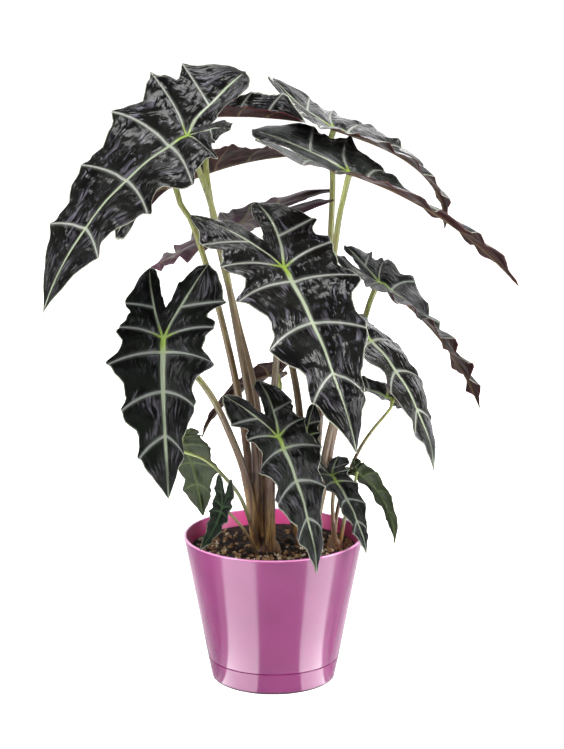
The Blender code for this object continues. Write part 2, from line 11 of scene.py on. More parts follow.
import bmesh
import bpy
import numpy as np
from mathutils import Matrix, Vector


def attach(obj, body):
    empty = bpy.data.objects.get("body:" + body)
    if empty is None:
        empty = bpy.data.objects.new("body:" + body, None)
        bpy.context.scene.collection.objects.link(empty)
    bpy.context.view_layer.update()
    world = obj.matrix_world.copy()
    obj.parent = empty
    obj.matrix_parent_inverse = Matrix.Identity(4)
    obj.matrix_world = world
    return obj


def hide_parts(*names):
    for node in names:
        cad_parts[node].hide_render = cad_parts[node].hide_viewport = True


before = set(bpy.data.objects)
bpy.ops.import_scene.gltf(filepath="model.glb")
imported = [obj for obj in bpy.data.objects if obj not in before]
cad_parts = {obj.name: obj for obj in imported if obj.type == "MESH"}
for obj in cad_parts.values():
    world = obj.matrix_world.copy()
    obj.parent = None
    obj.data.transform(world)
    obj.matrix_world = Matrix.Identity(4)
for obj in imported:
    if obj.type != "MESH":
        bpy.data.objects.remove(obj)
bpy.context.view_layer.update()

MM = 0.001
UP = np.array((0, 0, 1))

# The pot, and the points of its groove: height from the groove's middle and depth, in millimetres
POT_HEIGHT = 116 * MM
POT_RIM_RADIUS = 70 * MM
POT_BASE_RADIUS = 48.5 * MM
POT_WALL = 2.2 * MM
POT_FLOOR = 3 * MM
POT_EDGE_ROUND = 2 * MM
POT_GROOVE_HEIGHT = 18 * MM
POT_GROOVE = ((-1.0, 0), (-0.6, 0), (-0.2, 0.5), (0.2, 0.35), (0.8, 0))
POT_SEGMENTS = 160
POT_FOOT_STEPS = 7
POT_LIP_STEPS = 11

# The soil
SOIL_TOP = 104 * MM
SOIL_MOUND = 4 * MM
SOIL_LUMPS = 1.2 * MM
SOIL_CRUMBS = 0.35 * MM
SOIL_LUMP_LENGTH = 30 * MM
SOIL_FOOT_ROUND = 3 * MM
SOIL_RINGS = 46
SOIL_SEGMENTS = 128
BARE_SOIL_EDGE = 2.5 * MM
FIT_GAP = 0.3 * MM

# Blades: thickness, the relief of the ribs, and how far the blade swells between its side veins
BLADE_THICKNESS = 0.75 * MM
MARGIN_THICKNESS = 0.4 * MM
MIDRIB_DEPTH = 2.0 * MM
SIDE_RIB_DEPTH = 0.7 * MM
VEIN_RISE = 0.3 * MM
SWELLING = 2.6 * MM
RIB_TAPER = 0.75
BASAL_RIB_TAPER = 0.45
SOLID_THICKNESS = 0.9 * MM

# Sizes in millimetres: the veins' half widths at their start and end on a full-size leaf, how far
# in the margin thins, and the blade lengths of a full-size leaf and of one with the finer grid
MIDRIB_HALF_WIDTH = (2.6, 0.75)
BASAL_VEIN_HALF_WIDTH = (2.0, 0.8)
SIDE_VEIN_HALF_WIDTH = (1.3, 0.7)
FAR_FROM_VEINS = 30.0
THIN_MARGIN = 3
FULL_RIB_LENGTH = 120
LONG_LEAF = 90

# The grid of half a blade: fine rows to each named row, and columns from the spine to the margin.
# Rows crowd towards the veins, and columns towards the spine
LONG_LEAF_GRID = (7, 24)
SHORT_LEAF_GRID = (5, 16)
ROW_CROWDING = 1.5
INNER_CROWDING = 1.2
OUTER_CROWDING = 1.35

# How softly the margin rounds its vein ends and the bays between them
MARGIN_ROUNDING = (0.55, 1.05)

# Uneven ripples of the margin: turns per row, share of the leaf's own phase, and height
SCALLOPS = ((4.9, 1.0, 0.034), (9.3, 2.1, 0.026))
CRINKLES = ((5.3, 1.0, 1.0), (8.9, 1.7, 0.5))
# How far the close crinkles rise and fall, and how many times further on leaves that have dried
CRINKLE = 0.7 * MM
DRY_CRINKLES = {"right_long": 5.0, "top_right_front": 3.0, "top_right_back": 3.0, "middle_back": 4.0}
# How fast the crinkles fade inwards, on a fresh blade and at a dry tip; how fast they grow with the
# blade's reach, behind and at the tip; and their height on the basal lobes
CRINKLE_FADE = (3, 1.4)
CRINKLE_GROWTH = (3, 8)
LOBE_CRINKLE = 0.35
# The swelling between veins on the inner part, its lean towards the spine, and a side vein's rise
INNER_SWELLING = 0.4
SWELLING_LEAN = 0.8
SIDE_VEIN_RISE = 0.6
# How a rib's back rounds off, how soon the midrib narrows towards the tip, and how much of their bow
# the basal veins keep
RIB_ROUNDING = 0.8
MIDRIB_NARROWING = 0.8
LEAST_BOW = 0.2
# Slow waves along half a blade, how far its two halves are out of step, and how far each leaf's and
# each half's ripples are
SLOW_WAVES = 2
HALVES_APART = 1.3
LEAF_RIPPLES = 7
HALF_RIPPLES = 2

# Shoots and stems
SHOOT_FOOT_BOTTOM = 72 * MM
SHOOT_FOOT_TOP = 108 * MM
SHOOT_SHOULDER = 104 * MM
SHOOT_DOME = 12 * MM
SHOOT_DOME_START = 0.2
SHOOT_DOME_STEPS = 8
SHOOT_SEGMENTS = 48
NECK = 11 * MM
NECK_SAG = 0.4
NECK_START = 0.93
END_STEP = 2 * MM
STUB_DEPTH = 12 * MM
STUB_SWELL = 1.35
STUB_INSET = 0.4
SHEATH_TOP_SWELL = 1.04
SHEATHED_SHARE = 0.5
LONE_STEM_DEPTH = 18 * MM
CURVE_STEPS = 8
PATH_POINTS = 40
STEM_SIDES = 16
STEM_FLUTES = 5
SHARP_EDGE = radians(50)

# Sizes on the flat blade, as shares of its length from the junction to the tip
HALF_WIDTH = 0.33
LOBE_LENGTH = 0.47
SPINE_EASE = 0.05
BLEND_REACH = 0.1
WAVE_REACH = 0.2
CURL_LIMIT = 1.3
VEIN_BOW = 0.07
BOW_START = 0.3

# Where along the blade the margin's reach is set, from the basal lobes to near the tip
REACH_PLACES = (-0.45, -0.22, -0.06, 0.17, 0.44, 0.73)
EVEN = (1, 1, 1, 1, 1, 1)
DARK_LEAF_COLOUR = "dark_leaf"
GREEN_LEAF_COLOUR = "green_leaf"
# The leaves with a duller skin whose darker ground and dimmer veins are painted shade: the low ones in shade
# and the dry one
SHADED_LEAVES = ("left", "low_front", "low_right", "hidden_low", "right_long")


@dataclass(frozen=True)
class Leaf:
    """One blade, in millimetres and degrees, from its junction with the stem to its tip.

    heading 0 points along +X and 90 along +Y; rise and dip are the midrib's slope at the junction
    and at the tip, reached later the higher droop is; turn bends it sideways. A positive roll lifts
    the leaf's left half. The pairs are for the left and right halves: basal and spread are the
    basal lobe's length and its angle to the midrib, sweep draws the side veins' ends back from the
    tip, reach is the margin's width at REACH_PLACES, fold is the half's angle to the flat, curl
    bends it further towards the margin, and lobe lifts the basal lobe's tip.
    """

    junction: tuple
    heading: float
    rise: float
    dip: float
    length: float
    turn: float = 0
    roll: float = 0
    twist: float = 0
    droop: float = 1
    width: float = 1
    basal: tuple = (1, 1)
    spread: tuple = (1, 1)
    sweep: tuple = (0, 0)
    reach: tuple = (EVEN, EVEN)
    fold: tuple = (5, 5)
    curl: tuple = (5, 5)
    lobe: tuple = (0, 0)
    wave: float = 1.5
    phase: float = 0
    colour: str = DARK_LEAF_COLOUR


@dataclass(frozen=True)
class Stem:
    """One leaf stem: the shoot it leaves, where it passes (mm), its sheath length and radii."""

    shoot: str
    lean: float
    via: tuple
    sheath: float = 45
    thick: float = 3.4
    thin: float = 2.1


LEAVES = {
    "top_left": Leaf(
        (-64, -25, 434), -155, -24, -62, 178, turn=22, width=0.9, basal=(0.3, 0.86), sweep=(0.15, 0.32),
        fold=(-18, 32), curl=(-8, 18), lobe=(-2, -8), wave=2, phase=0.3,
        reach=((0.4, 0.4, 0.72, 0.9, 0.95, 0.85), (0.9, 1.05, 1.32, 0.95, 0.85, 1.1)),
    ),
    "top_left_back": Leaf(
        (-76, 35, 386), 35, 16, -3, 110, roll=-15, width=0.85, basal=(1.1, 1.1), fold=(40, 40),
        curl=(15, 15), lobe=(-36, -26), phase=1.1, reach=(EVEN, (1.3, 1.35, 1.2, 1, 1, 1)),
    ),
    "top_middle_back": Leaf(
        (-52, 27, 441), -7, 4, -9, 78, roll=15, width=1.05, basal=(0.7, 0.7), fold=(38, 45),
        curl=(10, 10), phase=2.0, reach=((0.5, 0.5, 0.5, 0.6, 1.0, 1.9), (0.4, 0.4, 0.5, 0.75, 1, 1)),
    ),
    "top_right_back": Leaf(
        (47, 50, 428), -8, -18, -96, 126, turn=8, droop=2.2, twist=-14, fold=(10, 5), lobe=(12, 22),
        phase=0.8, reach=((0.8, 0.8, 0.9, 0.85, 0.9, 1.0), (0.55, 0.55, 0.9, 1.15, 1.25, 1.3)),
    ),
    "top_right_front": Leaf(
        (58, -5, 403), -5, -18, -50, 158, turn=8, roll=8, twist=-36, width=1.05, basal=(1.1, 1.0),
        fold=(6, 12), curl=(14, 5), lobe=(-8, 4), wave=2, phase=1.7,
        reach=((0.75, 0.92, 1.0, 0.5, 0.12, 0.3), (1, 1, 1, 0.9, 0.6, 0.6)),
    ),
    "middle_back": Leaf(
        (-26, 50, 353), 180, -23, -36, 92, turn=-40, roll=-15, basal=(1.75, 1.75), fold=(0, 5),
        lobe=(-6, -12), phase=2.6, reach=((0.7, 0.65, 0.7, 1, 1, 1), (0.7, 0.65, 0.7, 1, 1, 1)),
    ),
    "centre": Leaf(
        (8, -70, 343), -56, -38, -66, 155, roll=-15, width=0.93, spread=(0.55, 1.0), fold=(25, -10),
        curl=(20, -5), lobe=(-15, -18), wave=2.5, phase=0.4,
        reach=((1.1, 1.1, 1.1, 1.05, 1.0, 0.95), (1.0, 1.0, 1.1, 1.15, 1.2, 1.1)),
    ),
    "left": Leaf(
        (-82, -55, 286), -95, -64, -88, 122, turn=35, roll=15, width=0.95, basal=(0.98, 1.0),
        spread=(1.0, 0.75), fold=(5, 18), curl=(-5, 5), lobe=(-3, -14), wave=2, phase=1.3,
        reach=((1.2, 1.2, 1.1, 1.05, 0.8, 0.75), (0.88, 0.9, 0.98, 1.1, 1.1, 1.3)),
    ),
    "right_long": Leaf(
        (82, 25, 311.5), -8, -32, -66, 127, turn=-20, roll=6, twist=-58, basal=(0.64, 0.7),
        spread=(0.45, 0.7), curl=(15, 5), lobe=(3, 4), phase=2.2,
    ),
    "right_low": Leaf(
        (67, -25, 284), -26, -37, -81, 122, basal=(0.4, 0.4), fold=(-1, 5), curl=(-10, 5), lobe=(-8, -8),
        phase=0.9, reach=((0.9, 0.9, 0.9, 1, 1.15, 1.2), EVEN),
    ),
    "low_front": Leaf(
        (4, -62, 211), -36, -58, -84, 108, turn=5, roll=3, width=1.02, basal=(0.95, 0.9),
        spread=(0.8, 1.0), fold=(5, 0), curl=(2, 5), lobe=(-15, -10), wave=2, phase=1.9,
    ),
    "low_right": Leaf(
        (45, -21, 169), -45, -38, -76, 68, turn=5, roll=-10, basal=(0.5, 0.6), spread=(1.3, 0.8),
        lobe=(0, 5), wave=1, phase=0.2,
    ),
    "small_left": Leaf(
        (-69, -30, 202), 55, -60, -80, 74, roll=-10, width=0.9, basal=(0.4, 0.25), spread=(0.7, 1.2),
        fold=(10, 10), wave=1, phase=0.6,
        reach=((0.3, 0.3, 0.3, 0.4, 0.9, 1.6), (0.5, 0.6, 0.75, 0.85, 1.2, 1.0)),
        colour=GREEN_LEAF_COLOUR,
    ),
    "small_soil": Leaf(
        (-39, -47, 151), -175, -75, -50, 38, roll=-55, width=0.75, basal=(1.5, 1.5), spread=(0.9, 0.9),
        fold=(10, 10), lobe=(8, 8), wave=0.6, phase=1.2,
    ),
    "small_right": Leaf(
        (65, 5, 165), 15, -36, -90, 72, roll=-50, width=0.45, basal=(0.3, 0.3), fold=(15, 15), wave=1,
        phase=1.6, colour=GREEN_LEAF_COLOUR,
    ),
    "small_back": Leaf(
        (2, 60, 231), 198, -8, -68, 82, roll=48, width=0.55, basal=(0.3, 0.3), fold=(12, 12), wave=1,
        phase=2.4,
    ),
    "small_right_back": Leaf(
        (94, 30, 217), 170, 24, 8, 62, roll=46, width=0.7, basal=(0.4, 0.4), fold=(10, 10), wave=1,
        phase=0.5,
    ),
    "hidden_low": Leaf((24, -8, 195), -80, -62, -80, 46, width=0.9, basal=(1.3, 1.0), wave=1, phase=2.8),
}

STEMS = {
    "top_left": Stem("main", 150, ((-15, -12, 203), (-25, -10, 266), (-43, -16, 366)), 62),
    "top_left_back": Stem("main", 170, ((-24, 6, 208), (-42, 20, 291), (-61.5, 30, 354)), 58),
    "top_middle_back": Stem("main", 110, ((-12, 9, 211), (-28, 6, 286), (-42, 9, 346), (-51, 17, 399)), 60),
    "top_right_back": Stem("side", 60, ((36, 26, 201), (42, 42, 296), (46, 50, 386)), 55),
    "top_right_front": Stem("side", -10, ((46, 2, 201), (43, 0, 296), (49, -3, 360)), 55),
    "middle_back": Stem("side", 120, ((21, 30, 201), (8, 42, 268), (-14, 52, 330)), 55),
    "centre": Stem("main", -60, ((-2, -14, 188), (2, -18, 256), (6, -38, 321)), 50),
    "left": Stem("main", 200, ((-20, -14, 161), (-33, -28, 204), (-50, -42, 243)), 62),
    "right_long": Stem("side", 30, ((48, 15, 198), (59, 21, 246), (70, 24, 280)), 55),
    "right_low": Stem("side", -20, ((42, -9, 193), (54, -12, 236), (62, -14, 266)), 50),
    "low_front": Stem("side", 240, ((10, -14, 150), (4, -28, 183), (3, -46, 204)), 30),
    "low_right": Stem("small", -90, ((46, -8, 138), (46, -12, 154)), 20, 1.8, 1.4),
    "small_left": Stem("main", 235, ((-24, -28, 151), (-37.5, -34, 172), (-52, -40, 187.5)), 30, 1.7, 1.2),
    "small_right": Stem("small", -20, ((57, -3, 136), (62, 0, 151)), 18, 1.6, 1.2),
    "small_back": Stem("main", 60, ((0, 24, 168), (3, 46, 208)), 35, 2.4, 1.6),
    "small_right_back": Stem("small", 110, ((52, 12, 140), (64, 25, 170), (76, 28, 190)), 20, 1.7, 1.2),
    "hidden_low": Stem("side", 262, ((24, -9, 153), (24, -4, 180)), 22, 2.1, 1.5),
    "small_soil": Stem("", 0, ((-25, -37, 134),), 0, 1.2, 1.0),
}

# Each shoot's foot: centre and radius
SHOOTS = {
    "main": ((-6, -8), 12),
    "side": ((25, 2), 9),
    "small": ((48, -2), 6.5),
}
LONE_STEM_FOOT = (-14, -27, 112)

# Half of the flat blade: places on the spine, from -1 at the basal lobe's tip to 1 at the leaf's
# tip, and the margin's points. Every other row, from the first, is a vein.
SPINE_PLACES = (-1.00, -0.78, -0.45, -0.20, 0.00, 0.04, 0.09, 0.21, 0.33, 0.46, 0.60, 0.80, 1.00)
OUTER_MARGIN = (
    (-0.47, 0.24), (-0.39, 0.30), (-0.22, 0.35), (-0.145, 0.27), (-0.06, 0.32), (0.05, 0.255), (0.17, 0.325),
    (0.31, 0.22), (0.44, 0.26), (0.60, 0.155), (0.73, 0.15), (0.87, 0.07), (1.0, 0.0),
)
INNER_MARGIN = ((-0.47, 0.24), (-0.45, 0.165), (-0.36, 0.08), (-0.26, 0.035), (-0.20, 0.0))
BASAL_VEIN_BOW = (-0.20, 0.085)


def linear(text):
    """An sRGB hex colour as linear red, green, blue and alpha."""
    values = [int(text[index:index + 2], 16) / 255 for index in (1, 3, 5)]
    return tuple(v / 12.92 if v <= 0.04045 else ((v + 0.055) / 1.055) ** 2.4 for v in values) + (1.0,)


def add(tree, kind, inputs=None, out=0, **settings):
    """Add a node with its settings, feed each input a value or an output, and return one output."""
    node = tree.nodes.new(kind)
    for name, value in settings.items():
        setattr(node, name, value)
    for name, value in (inputs or {}).items():
        if isinstance(value, bpy.types.NodeSocket):
            tree.links.new(value, node.inputs[name])
        else:
            node.inputs[name].default_value = value
    if isinstance(out, str):
        return node.outputs[out]
    shown = [socket for socket in node.outputs if socket.enabled]
    return shown[out] if shown else None


def shader_socket(material, label):
    """The shader's input for a label such as specular_ior_level."""
    name = label.replace("_", " ").title().replace("Ior", "IOR")
    return material.node_tree.nodes["Principled BSDF"].inputs[name]


def new_material(name, **values):
    """A Principled material with constants on the shader's own sockets, and its node tree."""
    material = bpy.data.materials.new(name)
    material.use_nodes = True
    for label, value in values.items():
        shader_socket(material, label).default_value = value
    return material, material.node_tree


def dress(material, **outputs):
    """Link the outputs to the shader's sockets and return the finished material."""
    for label, output in outputs.items():
        material.node_tree.links.new(output, shader_socket(material, label))
    return material


def plain_mesh(name, points, faces=(), edges=()):
    """A mesh of points with faces or bare edges."""
    mesh = bpy.data.meshes.new(name)
    mesh.from_pydata(points, edges, faces)
    return mesh


def new_item(name, data):
    """An object of the scene."""
    item = bpy.data.objects.new(name, data)
    bpy.context.scene.collection.objects.link(item)
    return item


def new_piece(name, mesh, slot, *nodes):
    """A finished piece: it rides on the body and stands for its CAD nodes; its slot is not used."""
    item = new_item(name, mesh)
    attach(item, "root")
    if nodes:
        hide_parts(*nodes)


# Finishes. Sockets by number: Map Range 0 value, 1 and 2 from, 3 and 4 to; Mix 0 share, 6 and 7 colours
EASED = {"interpolation_type": "SMOOTHSTEP"}
COLOURS = {"data_type": "RGBA"}


def paint(tree, ground, *layers):
    """Lay colours over a ground, each by its share.

    A layer is a colour and its share, or a colour, a pattern, the pattern's values where the colour
    begins and where it is full, and the share that it then covers.
    """
    for colour, share, *limits in layers:
        if limits:
            start, full, most = limits
            share = add(tree, "ShaderNodeMapRange", {0: share, 1: start, 2: full, 4: most}, **EASED)
        over = linear(colour) if isinstance(colour, str) else colour
        ground = add(tree, "ShaderNodeMix", {0: share, 6: ground, 7: over}, **COLOURS)
    return ground


def make_pot_lacquer():
    """Moulded polypropylene with a pearly magenta lacquer: bright upright reflections with soft edges."""
    material, tree = new_material("pearly_magenta_lacquer", specular_ior_level=0.38)
    place = add(tree, "ShaderNodeTexCoord", out="Object")
    height = add(tree, "ShaderNodeSeparateXYZ", {0: place}, out="Z")
    # Slow clouds of the pearl, and the lacquer's faint orange peel, dimples about 1.5 mm across
    cloud, peel = [
        add(tree, "ShaderNodeTexNoise", {"Vector": place, "Scale": 1 / size, "Detail": detail})
        for size, detail in ((60 * MM, 2.0), (1.5 * MM, 1.0))
    ]
    # The moulded lip is painted pale, a painted highlight where its rounded edge catches the light. The
    # rounded foot is painted dark, a painted shade and contact shadow beside the floor, and is rougher so it
    # doesn't shine
    foot = (2.6 * MM, 1.5 * MM)
    colour = paint(
        tree,
        linear("#5c0e46"),
        ("#66144e", cloud, 0.3, 0.7, 1.0),
        # Painted highlight along the lip
        ("#cf82b0", height, POT_HEIGHT - 1.1 * MM, POT_HEIGHT - 0.7 * MM, 1.0),
        # Painted shade: the rounded foot darkened as a contact shadow beside the floor
        ("#1c0416", height, *foot, 0.9),
    )
    dull = add(tree, "ShaderNodeMapRange", {0: height, 1: foot[0], 2: foot[1], 3: 0.17, 4: 0.737}, **EASED)
    bump = add(tree, "ShaderNodeBump", {"Strength": 0.05, "Distance": 0.1 * MM, "Height": peel})
    return dress(material, base_color=colour, roughness=dull, normal=bump)


def make_pot_plastic():
    """The same pot inside, where the moulded plastic shows a warmer pink."""
    finish = {"roughness": 0.35, "coat_weight": 0.2, "coat_roughness": 0.2}
    material, tree = new_material("moulded_pink_plastic", **finish)
    place = add(tree, "ShaderNodeTexCoord", out="Object")
    cloud = add(tree, "ShaderNodeTexNoise", {"Vector": place, "Scale": 1 / (25 * MM), "Detail": 3.0})
    return dress(material, base_color=paint(tree, linear("#c23a7a"), ("#d2558f", cloud)))


def make_soil_material():
    """Damp peat: dark brown fibres and crumbs, no shine."""
    material, tree = new_material("damp_peat", roughness=0.95, specular_ior_level=0.2)
    place = add(tree, "ShaderNodeTexCoord", out="Object")
    crumbs = add(tree, "ShaderNodeTexVoronoi", {"Vector": place, "Scale": 1 / (2.2 * MM)})
    fibres = add(tree, "ShaderNodeTexNoise", {"Vector": place, "Scale": 1 / (4 * MM), "Detail": 6.0})
    brown = (("#4a3426", fibres, 0.35, 0.65, 1.0), ("#0f0b09", crumbs, 0.1, 0.6, 1.0))
    height = add(tree, "ShaderNodeMath", {0: fibres, 1: crumbs}, operation="SUBTRACT")
    bump = add(tree, "ShaderNodeBump", {"Strength": 0.9, "Distance": 1.2 * MM, "Height": height})
    return dress(material, base_color=paint(tree, linear("#1a1210"), *brown), normal=bump)


def make_grain_material(name, pale, deep, roughness):
    """Loose grains of the potting mix, each a little different from its neighbours."""
    material, tree = new_material(name, roughness=roughness, specular_ior_level=0.3)
    place = add(tree, "ShaderNodeTexCoord", out="Object")
    patch = add(tree, "ShaderNodeTexVoronoi", {"Vector": place, "Scale": 1 / (5 * MM)}, out="Color")
    tone = add(tree, "ShaderNodeSeparateColor", {0: patch})
    speck = add(tree, "ShaderNodeTexNoise", {"Vector": place, "Scale": 1 / (0.7 * MM), "Detail": 3.0})
    colour = paint(tree, linear(pale), (deep, tone), ("#2a1c14", speck, 0.35, 0.6, 0.45))
    bump = add(tree, "ShaderNodeBump", {"Strength": 0.6, "Distance": 0.3 * MM, "Height": speck})
    return dress(material, base_color=colour, normal=bump)


def make_stem_material(name, foot, middle, top, roughness, streaks, stains):
    """A smooth fleshy stem: brown at its foot, olive, then yellow green under the blade.

    Fine streaks run along it, and dark runs where one sheath dries over the next.
    """
    flesh = {"subsurface_weight": 0.06, "subsurface_scale": 2 * MM, "specular_ior_level": 0.4}
    material, tree = new_material(name, roughness=roughness, **flesh)
    along = add(tree, "ShaderNodeAttribute", attribute_name="along", out="Fac")
    place = add(tree, "ShaderNodeTexCoord", out="Object")
    # Streaks 1 mm wide that run some 12 mm along the stem, and runs 4 mm wide
    stretch = add(tree, "ShaderNodeMapping", {"Vector": place, "Scale": (1.0, 1.0, 0.08)})
    streak, run, blotch = [
        add(tree, "ShaderNodeTexNoise", {"Vector": where, "Scale": 1 / size, "Detail": detail})
        for where, size, detail in ((stretch, 1.0 * MM, 2.0), (stretch, 4 * MM, 1.0), (place, 14 * MM, 3.0))
    ]
    shift = add(tree, "ShaderNodeMapRange", {0: blotch, 1: 0.2, 2: 0.8, 3: -0.12, 4: 0.12})
    shifted = add(tree, "ShaderNodeMath", {0: along, 1: shift}, operation="ADD")
    colour = paint(
        tree,
        linear(foot),
        (middle, shifted, 0.02, 0.42, 1.0),
        (top, shifted, 0.45, 1.0, 1.0),
        ("#3c221b", run, 0.48, 0.62, stains),
        ("#3a2a1e", streak, 0.45, 0.75, streaks),
    )
    bump = add(tree, "ShaderNodeBump", {"Strength": 0.25, "Distance": 0.3 * MM, "Height": streak})
    return dress(material, base_color=colour, normal=bump)


def blade_fields(tree):
    """What a blade's mesh stores at each point, and the patterns drawn from it.

    side and spine are the distances from the nearest side vein and from the spine, in half widths of
    that vein; margin is the distance from the margin and near that from the junction, in millimetres.
    flat is the place on the flat blade in millimetres. vein is 1 on a vein, and pucker gives ridges
    about 4 mm apart that cross from one side vein to the next.
    """
    ribs, flat, folds = [
        add(tree, "ShaderNodeAttribute", attribute_name=name, out="Vector")
        for name in ("ribs", "flat", "folds")
    ]
    side, spine, margin = [add(tree, "ShaderNodeSeparateXYZ", {0: ribs}, out=axis) for axis in "XYZ"]
    near = add(tree, "ShaderNodeVectorMath", {0: flat}, operation="LENGTH")
    on_veins = [
        add(tree, "ShaderNodeMapRange", {0: gap, 1: start, 2: full}, **EASED)
        for gap, start, full in ((side, 1.35, 0.7), (spine, 1.25, 0.75))
    ]
    vein = add(tree, "ShaderNodeMath", dict(enumerate(on_veins)), operation="MAXIMUM")
    stretch = add(tree, "ShaderNodeMapping", {"Vector": folds, "Scale": (1.1, 9.0, 1.0)})
    ridges = {"Vector": stretch, "Scale": 1.0, "Detail": 1.5, "Distortion": 0.7}
    pucker = add(tree, "ShaderNodeTexNoise", ridges)
    fields = {"side": side, "spine": spine, "margin": margin, "near": near, "flat": flat}
    return SimpleNamespace(vein=vein, pucker=pucker, **fields)


def make_upper_blade(name, ground_colours, vein_colours, roughness, shine, puckering, highlight_and_margin):
    """The waxy upper skin of a living leaf: pale veins on a dark, puckered ground with a satin shine."""
    material, tree = new_material(name, specular_ior_level=shine)
    vein_colour, midrib_colour, junction_colour = vein_colours
    deep, sheen = ground_colours
    field = blade_fields(tree)
    # Fine grain, clouds, patches, and broad dents 11 mm across that gather the shine
    grain, cloud, patches, dents = [
        add(tree, "ShaderNodeTexNoise", {"Vector": field.flat, "Scale": 1 / size, "Detail": detail})
        for size, detail in ((1.6, 2.0), (24, 2.0), (17, 1.0), (11, 1.0))
    ]
    # Painted highlight: lilac grey streaks along the ridges, gathered in patches, where the ridges would
    # catch the light
    highlight_share = add(tree, "ShaderNodeMapRange", {0: field.pucker, 1: 0.52, 2: 0.66, 4: highlight_and_margin}, **EASED)
    # The ground pales a little beside each vein
    halos = [
        add(tree, "ShaderNodeMapRange", {0: gap, 1: start, 2: 0.9, 4: 0.18}, **EASED)
        for gap, start in ((field.side, 3.2), (field.spine, 2.2))
    ]
    halo = add(tree, "ShaderNodeMath", dict(enumerate(halos)), operation="MAXIMUM")
    # The midrib has its own shade, and the veins are freshest round the junction
    vein = paint(
        tree,
        linear(vein_colour),
        (midrib_colour, field.spine, 2.0, 0.5, 1.0),
        (junction_colour, field.near, 15.0, 4.0, 1.0),
    )
    shown = add(tree, "ShaderNodeMath", {0: field.vein, 1: 0.92}, operation="MULTIPLY")
    colour = paint(
        tree,
        linear(deep),
        (sheen, cloud, 0.3, 0.7, 1.0),
        # Painted highlight streaks on the ridges
        ("#66626c", patches, 0.47, 0.62, highlight_share),
        (vein_colour, halo),
        (vein, shown),
        ("#a5ab98", field.margin, 1.0, 0.3, 0.25 + highlight_and_margin),
    )
    skin = {0: cloud, 1: 0.3, 2: 0.7, 3: roughness - 0.06, 4: roughness + 0.08}
    satin = add(tree, "ShaderNodeMapRange", skin, **EASED)
    # The puckers are deepest in patches, and the veins lie smooth between them
    depth = add(tree, "ShaderNodeMapRange", {0: patches, 1: 0.38, 2: 0.62, 3: 0.3, 4: 1.0}, **EASED)
    rough = add(tree, "ShaderNodeMath", {0: grain, 1: 0.06, 2: dents}, operation="MULTIPLY_ADD")
    relief = add(tree, "ShaderNodeMath", {0: field.pucker, 1: depth, 2: rough}, operation="MULTIPLY_ADD")
    plain = add(tree, "ShaderNodeMath", {0: 1.0, 1: field.vein}, operation="SUBTRACT")
    height = add(tree, "ShaderNodeMath", {0: relief, 1: plain}, operation="MULTIPLY")
    bump = add(tree, "ShaderNodeBump", {"Strength": puckering, "Distance": 2.0 * MM, "Height": height})
    return dress(material, base_color=colour, roughness=satin, normal=bump)


def make_under_blade(name, deep, pale, crest_highlight_colour, vein_colour, edge_colour):
    """The matt underside of a living leaf: raised ribs a shade greener, and puckers whose paler crests are a
    painted highlight.
    """
    material, tree = new_material(name, roughness=0.45, specular_ior_level=0.14)
    field = blade_fields(tree)
    cloud = add(tree, "ShaderNodeTexNoise", {"Vector": field.flat, "Scale": 1 / 14, "Detail": 3.0})
    shown = add(tree, "ShaderNodeMath", {0: field.vein, 1: 0.8}, operation="MULTIPLY")
    colour = paint(
        tree,
        linear(deep),
        (pale, cloud, 0.3, 0.7, 1.0),
        # Painted highlight: the puckers' crests are paler where they would catch the light
        (crest_highlight_colour, field.pucker, 0.5, 0.68, 0.35),
        (vein_colour, shown),
        (edge_colour, field.margin, 1.4, 0.2, 0.7),
    )
    bump = add(tree, "ShaderNodeBump", {"Strength": 0.5, "Distance": 1.0 * MM, "Height": field.pucker})
    return dress(material, base_color=colour, normal=bump)


# Blades


def blend(pair, side, apart):
    """One side's value of a pair, brought to the mean of both sides near the midrib."""
    mean = (pair[0] + pair[1]) / 2
    return mean + (pair[side] - mean) * apart


def between(pair, share):
    """The value that lies a share of the way from the first of a pair to the second."""
    return pair[0] + (pair[1] - pair[0]) * share


def read_table(places, along, table):
    """Read a table of vectors, which has one for each value of along, at other places."""
    return np.stack([np.interp(places, along, table[:, axis]) for axis in range(3)], -1)


def ripples(marks, phase, waves):
    """The sum of a few waves along the rows."""
    return sum(height * np.sin(pace * marks + share * phase) for pace, share, height in waves)


